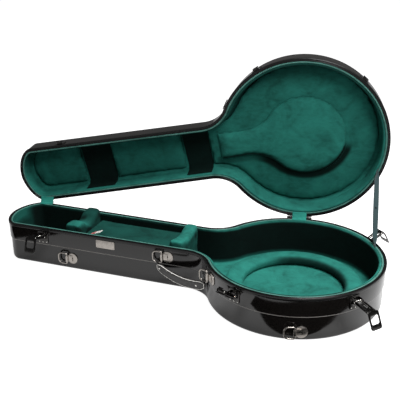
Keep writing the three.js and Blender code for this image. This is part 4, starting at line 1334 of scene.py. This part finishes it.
def newTree(name, sockets):
    tree = bpy.data.node_groups.new(name, "GeometryNodeTree")
    ids = {}
    for label, kind in sockets:
        item = tree.interface.new_socket(label, in_out="INPUT", socket_type=kind)
        ids[label] = item.identifier
    tree.interface.new_socket("Geometry", in_out="OUTPUT", socket_type="NodeSocketGeometry")
    return tree, ids


def vectorOf(tree, x, y, z):
    return nodeOf(tree, "ShaderNodeCombineXYZ", [("X", x), ("Y", y), ("Z", z)]).outputs[0]


def productOf(tree, first, second):
    return nodeOf(tree, "ShaderNodeMath", [(0, first), (1, second)], operation="MULTIPLY").outputs[0]


def ballForm(tree, segments, rings, size):
    links = [("Segments", segments), ("Rings", rings), ("Radius", 1.0)]
    ball = nodeOf(tree, "GeometryNodeMeshUVSphere", links).outputs["Mesh"]
    return nodeOf(tree, "GeometryNodeTransform", [("Geometry", ball), ("Scale", size)]).outputs[0]


def domeForm(tree, radius, height):
    size = vectorOf(tree, radius, radius, height)
    return ballForm(tree, fastenerLook["segments"], fastenerLook["rings"], size)


def crossForm(tree, radius, height):
    wide = productOf(tree, radius, fastenerLook["crossLong"])
    thin = productOf(tree, radius, fastenerLook["crossThin"])
    lifted = vectorOf(tree, 0.0, 0.0, height)
    bars = nodeOf(tree, "GeometryNodeJoinGeometry")
    for size in (vectorOf(tree, wide, thin, height), vectorOf(tree, thin, wide, height)):
        bar = nodeOf(tree, "GeometryNodeMeshCube", [("Size", size)])
        tree.links.new(bar.outputs["Mesh"], bars.inputs[0])
    cut = nodeOf(tree, "GeometryNodeTransform", [("Geometry", bars.outputs[0]), ("Translation", lifted)])
    links = [("Mesh 1", domeForm(tree, radius, height)), ("Mesh 2", cut.outputs[0])]
    return nodeOf(tree, "GeometryNodeMeshBoolean", links, operation="DIFFERENCE").outputs["Mesh"]


def stitchForm(tree, radius, height):
    size = vectorOf(tree, radius, productOf(tree, radius, fastenerLook["stitchThin"]), height)
    return ballForm(tree, fastenerLook["stitchSegments"], fastenerLook["stitchRings"], size)


def repeatTree(kind, form):
    tree, ids = newTree(kind + "Rows", [
        ("Geometry", "NodeSocketGeometry"), ("Radius", "NodeSocketFloat"), ("Height", "NodeSocketFloat"),
        ("Material", "NodeSocketMaterial"),
    ])
    given = nodeOf(tree, "NodeGroupInput")
    shape = form(tree, given.outputs["Radius"], given.outputs["Height"])
    points = nodeOf(tree, "GeometryNodeMeshToPoints", [("Mesh", given.outputs["Geometry"])])
    kindOf = {"data_type": "FLOAT_VECTOR"}
    facing, run = (
        nodeOf(tree, "GeometryNodeInputNamedAttribute", [("Name", label)], **kindOf).outputs[0]
        for label in ("facing", "run")
    )
    upright = nodeOf(tree, "FunctionNodeAlignRotationToVector", [("Vector", facing)], axis="Z")
    links = [("Rotation", upright.outputs["Rotation"]), ("Vector", run)]
    turned = nodeOf(tree, "FunctionNodeAlignRotationToVector", links, axis="X", pivot_axis="Z")
    copies = nodeOf(tree, "GeometryNodeInstanceOnPoints", [
        ("Points", points.outputs[0]), ("Instance", shape), ("Rotation", turned.outputs["Rotation"]),
    ])
    real = nodeOf(tree, "GeometryNodeRealizeInstances", [("Geometry", copies.outputs["Instances"])])
    coloured = nodeOf(tree, "GeometryNodeSetMaterial", [
        ("Geometry", real.outputs[0]), ("Material", given.outputs["Material"]),
    ])
    nodeOf(tree, "NodeGroupOutput", [(0, coloured.outputs[0])])
    return tree, ids


trees = {
    "rivet": repeatTree("rivet", domeForm),
    "screw": repeatTree("screw", crossForm),
    "stitch": repeatTree("stitch", stitchForm),
}


def repeats(name, kind, rows, size, finish, body):
    radius, height = fastenerLook[size]
    mesh = bpy.data.meshes.new(name)
    mesh.from_pydata([Vector(place) * mm for place, facing, run in rows], [], [])
    for label, column in (("facing", 1), ("run", 2)):
        field = mesh.attributes.new(label, "FLOAT_VECTOR", "POINT")
        for item, row in zip(field.data, rows):
            item.vector = row[column]
    obj = addObject(name, mesh, finish)
    tree, ids = trees[kind]
    modifier = obj.modifiers.new("rows", "NODES")
    modifier.node_group = tree
    modifier[ids["Radius"]] = radius * mm
    modifier[ids["Height"]] = height * mm
    modifier[ids["Material"]] = finishes[finish]
    bakeModifiers(obj)
    for polygon in obj.data.polygons:
        polygon.use_smooth = kind != "screw"
    settle(obj, body, finish)
    return obj


def inFrame(matrix, place, facing, run):
    turn = matrix.to_3x3()
    return matrix @ Vector(place), turn @ Vector(facing), turn @ Vector(run)


outward = (0, 1, 0)
level = (1, 0, 0)
upward = (0, 0, 1)
cornerWise = (0.8, 0, 0.6)


def rowsOn(matrix, places, run=cornerWise):
    return [inFrame(matrix, place, outward, run) for place in places]


def pairOn(matrix, half, high=0):
    return [inFrame(matrix, (side * half, high, 0), (side, 0, 0), upward) for side in (-1, 1)]


# Places in the wall's frame, and for the hinges along the case, round it, out of it and up

screwPlaces = {
    "plate": ((-9.8, 0.4, 64.6), (9.8, 0.4, 64.6), (0, 0.6, 64)),
    "keeper": ((-7, -0.75, 125.4), (7, -0.75, 125.4)),
    "ring": ((0, 0.9, 0),),
    "badge": ((-21, 1.3, -7.4), (-21, 1.3, 7.4), (21, 1.3, -7.4), (21, 1.3, 7.4)),
    "guard": ((-8, 2.6, 0), (8, 2.6, 0)),
    "hingeNeckX": -678.5,
    "hingeBodyAzimuth": 100.78,
    "hingeSpread": {"neck": 8, "body": 21},
    "hingeOut": 1.6,
    "hingeHigh": {"base": 86, "lid": 114},
}
for name, place in latchPlaces.items():
    wall = place["frame"]
    armPair = pairOn(armMatrix(place), latchLook["armEnd"], latchLook["arm"])
    repeats("plateRivets_" + name, "rivet", rowsOn(wall, screwPlaces["plate"], level), "plate",
            "bright_nickel", "base")
    repeats("pivotRivets_" + name, "rivet", pairOn(pivotMatrix(place), latchLook["earEnd"]), "pivot",
            "bright_nickel", "base")
    repeats("armRivets_" + name, "rivet", armPair, "arm", "bright_nickel", "arm_" + name)
    repeats("keeperScrews_" + name, "screw", rowsOn(lidMatrix @ wall, screwPlaces["keeper"]), "keeper",
            "nickel", "lid")

for name, place in ringPlaces.items():
    repeats("ringScrew_" + name, "screw", rowsOn(place["frame"], screwPlaces["ring"]), "ring",
            "black_screw", "base")

badgeWall = neckWall(-435, 1.2, 82)
repeats("badgeRivets", "rivet", rowsOn(badgeWall, screwPlaces["badge"], level), "badge", "nickel", "base")
guardWall = lidMatrix @ bodyWall(-145, 0, 108)
repeats("guardScrews", "screw", rowsOn(guardWall, screwPlaces["guard"]), "guard", "nickel", "lid")


def hingeWall(name, x):
    if name == "neck":
        return neckWall(screwPlaces["hingeNeckX"] + x, side=1)
    return bodyWall(screwPlaces["hingeBodyAzimuth"] + math.degrees(x / case["bodyRadius"]))


for name, spread in screwPlaces["hingeSpread"].items():
    for part, partMatrix in (("base", still), ("lid", lidMatrix)):
        place = (0, screwPlaces["hingeOut"], screwPlaces["hingeHigh"][part])
        rows = []
        for x in (-spread, spread):
            rows += rowsOn(partMatrix @ hingeWall(name, x), [place])
        repeats("hingeScrews_" + name + "_" + part, "screw", rows, "hinge", "nickel", part)
print("screws and rivets made")

# Carrying handle: a padded band with piping along both edges, and a loop round each ring

handleLook = {
    "sag": 13,
    "drop": 10,
    "half": 11,
    "endHalf": 6.4,
    "thick": 7,
    "endThick": 5,
    "taper": 16,
    "clear": 3.9,
    "squareTall": 0.45,      # under 1 squares the section off
    "squareThick": 0.7,
    "crease": 0.12,
    "ends": ((0, 0.55), (0.25, 0.85)),
    "lastRing": 0.9,
    "loopHalf": 2.4,
    "loopInner": 3.4,
    "loopOuter": 4.8,
    "loopEdge": 0.4,
    "loopFlat": 0.8,
    "loopSides": 32,
    "piping": 0.8,
    "pipingIn": 1.5,
    "pipingShort": 2.5,
    "pipingBow": 1.4,
    "pipingOut": 0.72,
    "pipingEndOut": 0.85,
    "rivetPlaces": (9, 24),
    "rivetSunk": 0.2,
    "stitches": 46,
    "stitchShort": 5,
    "stitchIn": 1.9,
    "stitchOut": 0.93,
    "steps": 72,
    "sides": 28,
}


def handleMatrix():
    grip = Vector((ringLook["grip"], 0, -ringLook["half"]))
    left = ringMatrix(ringPlaces["handle_left"]) @ grip
    right = ringMatrix(ringPlaces["handle_right"]) @ grip
    run = (left - right).normalized()
    out = Vector((-run.y, run.x, 0)).normalized()
    down = out.cross(run)
    turn = Matrix((down, out, run)).transposed().to_4x4()
    return Matrix.Translation((left + right) / 2) @ turn, (left - right).length / 2


handlePlace, handleHalf = handleMatrix()
handleReach = handleHalf + handleLook["loopHalf"]


def handleSection(along):
    look = handleLook
    share = max(0.0, min(1.0, (handleReach - abs(along)) / look["taper"]))
    swell = math.sin(share * math.pi / 2)
    tall = look["endHalf"] + (look["half"] - look["endHalf"]) * swell
    thick = (look["endThick"] + (look["thick"] - look["endThick"]) * swell) / 2
    centre = look["drop"] + look["sag"] * (1 - (along / handleReach) ** 2)
    high = max(centre - tall, look["clear"])
    low = centre + tall
    return (low + high) / 2, (low - high) / 2, thick


def softRing(along, shrink=1.0):
    centre, tall, thick = handleSection(along)
    ring = []
    for k in range(handleLook["sides"]):
        angle = 2 * math.pi * k / handleLook["sides"]
        c, n = math.cos(angle), math.sin(angle)
        across = math.copysign(abs(c) ** handleLook["squareTall"], c) * tall * shrink
        depth = math.copysign(abs(n) ** handleLook["squareThick"], n) * thick * shrink
        crease = handleLook["crease"] * noise.noise(Vector((along * 0.16, across * 0.2, depth)))
        ring.append(Vector((centre + across, depth + crease * shrink, along)))
    return ring


def handleBand():
    look = handleLook
    rings = [softRing(off - handleReach, shrink) for off, shrink in look["ends"]]
    for i in range(look["steps"] + 1):
        rings.append(softRing((handleReach - look["lastRing"]) * (2 * i / look["steps"] - 1)))
    rings += [softRing(handleReach - off, shrink) for off, shrink in reversed(look["ends"])]
    band = stack("handleBand", rings, "black_vinyl", "handle", ["handle"], handlePlace, sharp=80)


def handlePiping():
    look = handleLook
    reach = handleReach - look["pipingShort"]
    path = []
    for way in (1, -1):
        for i in range(look["steps"] + 1):
            along = way * reach * (2 * i / look["steps"] - 1)
            centre, tall, thick = handleSection(along)
            path.append((centre - way * (tall - look["pipingIn"]), thick * look["pipingOut"], along))
        centre, tall, thick = handleSection(reach)
        for turn in (1, 2, 3):
            angle = math.pi * turn / 4
            path.append((
                centre - way * (tall - look["pipingIn"]) * math.cos(angle), thick * look["pipingEndOut"],
                way * (reach + look["pipingBow"] * math.sin(angle)),
            ))
    tube("handlePiping", path, look["piping"], "piping", "handle", 8, True, matrix=handlePlace)


def handleLoop(name, side):
    look = handleLook
    inner, outer = look["loopInner"], look["loopOuter"]
    edge, flat = outer - look["loopEdge"], look["loopFlat"]
    rings = []
    for radius, share in ((inner, -1), (edge, -1), (outer, -flat), (outer, flat), (edge, 1), (inner, 1)):
        centre = Vector((0, 0, side * handleHalf + share * look["loopHalf"]))
        rings.append(circle(centre, Vector((1, 0, 0)), Vector((0, 1, 0)), radius, look["loopSides"]))
    stack(name, rings, "black_vinyl", "handle", (), handlePlace, closed=True, sharp=50)


def handleDetails():
    look = handleLook
    for name, side in (("handleLoop_left", 1), ("handleLoop_right", -1)):
        handleLoop(name, side)
    left, right = look["rivetPlaces"]
    rows = []
    for along in (handleReach - left, right - handleReach):
        centre, tall, thick = handleSection(along)
        rows.append(inFrame(handlePlace, (centre, thick - look["rivetSunk"], along), outward, upward))
    repeats("handleRivets", "rivet", rows, "handle", "bright_nickel", "handle")
    stitches = []
    for side in (-1, 1):
        for i in range(look["stitches"]):
            along = (handleReach - look["stitchShort"]) * (2 * i / (look["stitches"] - 1) - 1)
            centre, tall, thick = handleSection(along)
            across = side * (tall - look["pipingIn"] - look["stitchIn"])
            place = (centre + across, thick * look["stitchOut"], along)
            stitches.append(inFrame(handlePlace, place, outward, upward))
    repeats("handleStitches", "stitch", stitches, "stitch", "black_screw", "handle")


handleBand()
handlePiping()
handleDetails()
print("handle made")

# Strips of cloth: a thin band along stations, each a centre, a direction across it and one out of it

stripSection = [
    (-1, 0), (-0.94, 1), (-0.6, 1), (-0.2, 1), (0.2, 1), (0.6, 1), (0.94, 1),
    (1, 0), (0.94, -1), (0.6, -1), (0.2, -1), (-0.2, -1), (-0.6, -1), (-0.94, -1),
]


def strip(name, stations, width, thick, finish, stoodFor=(), body=None):
    half, edge = width / 2, thick / 2
    rings = [
        [centre + across * half * a + out * edge * b for a, b in stripSection]
        for centre, across, out in stations
    ]
    obj = stack(name, rings, finish, body, stoodFor, sharp=70)
    layer = obj.data.uv_layers.new(name="cloth")
    run = [0.0]
    for before, after in zip(stations, stations[1:]):
        run.append(run[-1] + (after[0] - before[0]).length)
    for polygon in obj.data.polygons:
        for loop, vertex in zip(polygon.loop_indices, polygon.vertices):
            station, k = divmod(vertex, len(stripSection))
            layer.data[loop].uv = (stripSection[k][0] * 0.5 + 0.5, run[station] / run[-1])
    return obj, run[-1]


def rounded(points, rounds=3):
    for step in range(rounds):
        smooth = [points[0]]
        for before, after in zip(points, points[1:]):
            smooth.append(before.lerp(after, 0.25))
            smooth.append(before.lerp(after, 0.75))
        smooth.append(points[-1])
        points = smooth
    return points


coverLook = {
    "neckAt": -652,
    "bodyAt": 0,
    "width": 34,
    "thick": 0.9,
    "tuck": 0.15,
    "dip": 4.6,
    "baseUnder": 0.8,
    "lidUnder": 0.5,
    "rise": 0.7,
    "turnIn": 1.6,
    "baseEnd": 4.5,
    "lidEnd": 9,
    "pucker": 0.35,
    "foldFrom": 0.1004,      # in metres
    "foldTo": 0.107,
}


def hingeCover(name, at):
    look = coverLook
    turn = -math.radians(case["openDegrees"])
    rim = case["base"] + case["seat"]
    reach = case["hingeReach"]

    def onLid(out, up):
        return Vector((
            out * math.cos(turn) - up * math.sin(turn),
            hingePoint.z + out * math.sin(turn) + up * math.cos(turn),
        ))

    tuck = reach + liningLook["innerWelt"] - look["tuck"]
    turnIn = look["turnIn"] - tuck
    path = rounded([
        Vector((-tuck, case["base"] - look["dip"])), Vector((-tuck, rim - look["baseUnder"])),
        Vector((turnIn, rim + look["rise"])), Vector((-reach - look["baseEnd"], rim + look["rise"])),
        onLid(-reach - look["lidEnd"], -look["rise"]), onLid(turnIn, -look["rise"]),
        onLid(-tuck, look["lidUnder"]), onLid(-tuck, look["dip"]),
    ])
    stations = []
    base = hingePoint + hingeAlong * at
    for i, point in enumerate(path):
        before, after = path[max(i - 1, 0)], path[min(i + 1, len(path) - 1)]
        run = (after - before).normalized()
        ripple = look["pucker"] * noise.noise(Vector((i * 0.35, at * 0.1, 0)))
        centre = Vector((base.x, base.y, 0)) + hingeAcross * point.x + Vector((0, 0, point.y))
        out = hingeAcross * -run.y + Vector((0, 0, run.x))
        stations.append((centre + out * ripple, hingeAlong, out))
    obj, length = strip("hingeCover_" + name, stations, look["width"], look["thick"], "dark_plush",
                        ["hinge_cover_" + name])
    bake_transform(obj)


hingeCover("neck", coverLook["neckAt"])
hingeCover("body", coverLook["bodyAt"])

stayLook = {
    "width": 12.6,
    "thick": 0.8,
    "azimuth": 31,
    "inset": 12.7,
    "tail": 12.6,
    "bend": 0.5,
    "steps": 64,
    "gather": 0.86,
    "gatherAt": 0.03,
    "gatherWide": 0.05,
    "wave": 0.5,
    "waves": 9,
    "twist": 62,
    "twistShare": 0.16,
    "studAt": 0.5,
    "studOut": 0.4,
}


def stayStation(z, matrix):
    angle = math.radians(stayLook["azimuth"])
    out = Vector((math.cos(angle), math.sin(angle), 0))
    along = Vector((-math.sin(angle), math.cos(angle), 0))
    centre = out * (case["bodyRadius"] - stayLook["inset"]) + Vector((0, 0, z))
    turn = matrix.to_3x3()
    return matrix @ centre, turn @ along, turn @ out


def stayStrap():
    look = stayLook
    crownLow = baseWelt - weltLook["radius"] - case["seat"] + liningLook["crown"] + look["bend"]
    crownHigh = lidWelt + weltLook["radius"] + case["seat"] - liningLook["crown"] - look["bend"]
    first = stayStation(crownLow, still)
    last = stayStation(crownHigh, lidMatrix)
    run = (last[0] - first[0]).normalized()
    stations = [stayStation(crownLow - look["tail"], still)]
    for i in range(look["steps"] + 1):
        share = i / look["steps"]
        centre = first[0].lerp(last[0], share)
        ease = eased01(min(share, 1 - share), 0, look["twistShare"])
        turn = Matrix.Rotation(math.radians(look["twist"]) * ease, 3, run)
        along = turn @ first[1].lerp(last[1], share).normalized()
        out = turn @ first[2].lerp(last[2], share).normalized()
        wave = look["wave"] * noise.noise(Vector((share * look["waves"], 2.5, 0))) * math.sin(math.pi * share)
        pinch = 1 - (1 - look["gather"]) * math.exp(-((share - look["gatherAt"]) / look["gatherWide"]) ** 2)
        stations.append((centre + out * wave, along * pinch, out))
    stations.append(stayStation(crownHigh + look["tail"], lidMatrix))
    obj, length = strip("stayStrap", stations, look["width"], look["thick"], "webbing", ["stay_strap"])
    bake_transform(obj)
    return first, last


stayFirst, stayLast = stayStrap()

# Snap stud halfway along the strap

studPlace = stayFirst[0].lerp(stayLast[0], stayLook["studAt"])
studOut = stayFirst[2].lerp(stayLast[2], stayLook["studAt"]).normalized()
studRun = (stayLast[0] - stayFirst[0]).normalized()
stud = repeats("stayStud", "rivet", [
    (studPlace + studOut * side * stayLook["studOut"], studOut * side, studRun) for side in (-1, 1)
], "stud", "black_screw", None)
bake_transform(stud)

ribbonLook = {
    "width": 13.6,
    "thick": 0.8,
    "x": -508,
    "y": -44,
    "lift": 0.1,             # over the board
    "foot": 14,
    "lean": 38,
    "rise": 20,
    "bend": 0.4,
    "corner": 1,
    "kink": 0.6,
    "tip": 0.2,
}


def ribbonPull():
    look = ribbonLook
    low = padLook["boardTop"] + look["lift"] + look["thick"] / 2
    bendX = look["foot"] + look["lean"] * look["bend"] ** 2
    points = rounded([
        Vector((0, low)), Vector((look["foot"] - look["corner"], low)),
        Vector((bendX - look["kink"], low + look["rise"] * look["bend"])),
        Vector((look["foot"] + look["lean"] - look["corner"], low + look["rise"] - look["tip"])),
    ], 4)
    stations = []
    for i, point in enumerate(points):
        before, after = points[max(i - 1, 0)], points[min(i + 1, len(points) - 1)]
        run = (after - before).normalized()
        stations.append((Vector((look["x"] + point.x, look["y"], point.y)), Vector((0, 1, 0)),
                         Vector((-run.y, 0, run.x))))
    obj, length = strip("ribbonPull", stations, look["width"], look["thick"], "ribbon",
                        ["compartment_ribbon"], "compartment_board")


ribbonPull()
print("covers, strap and ribbon made")

# Piping round the foot of the pillow

tube("pillowPiping", pillowPath(padLow - pillowLook["pipingLow"]), pillowLook["piping"], "plush", "lid", 8,
     True, matrix=lidMatrix)
print("pillow piping made")

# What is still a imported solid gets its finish

for nodeName, node in nodes.items():
    if node.hide_render:
        continue
    node.data.materials.clear()
    node.data.materials.append(finishes["dark_plush" if "rail" in nodeName else "nickel"])

bpy.context.view_layer.update()
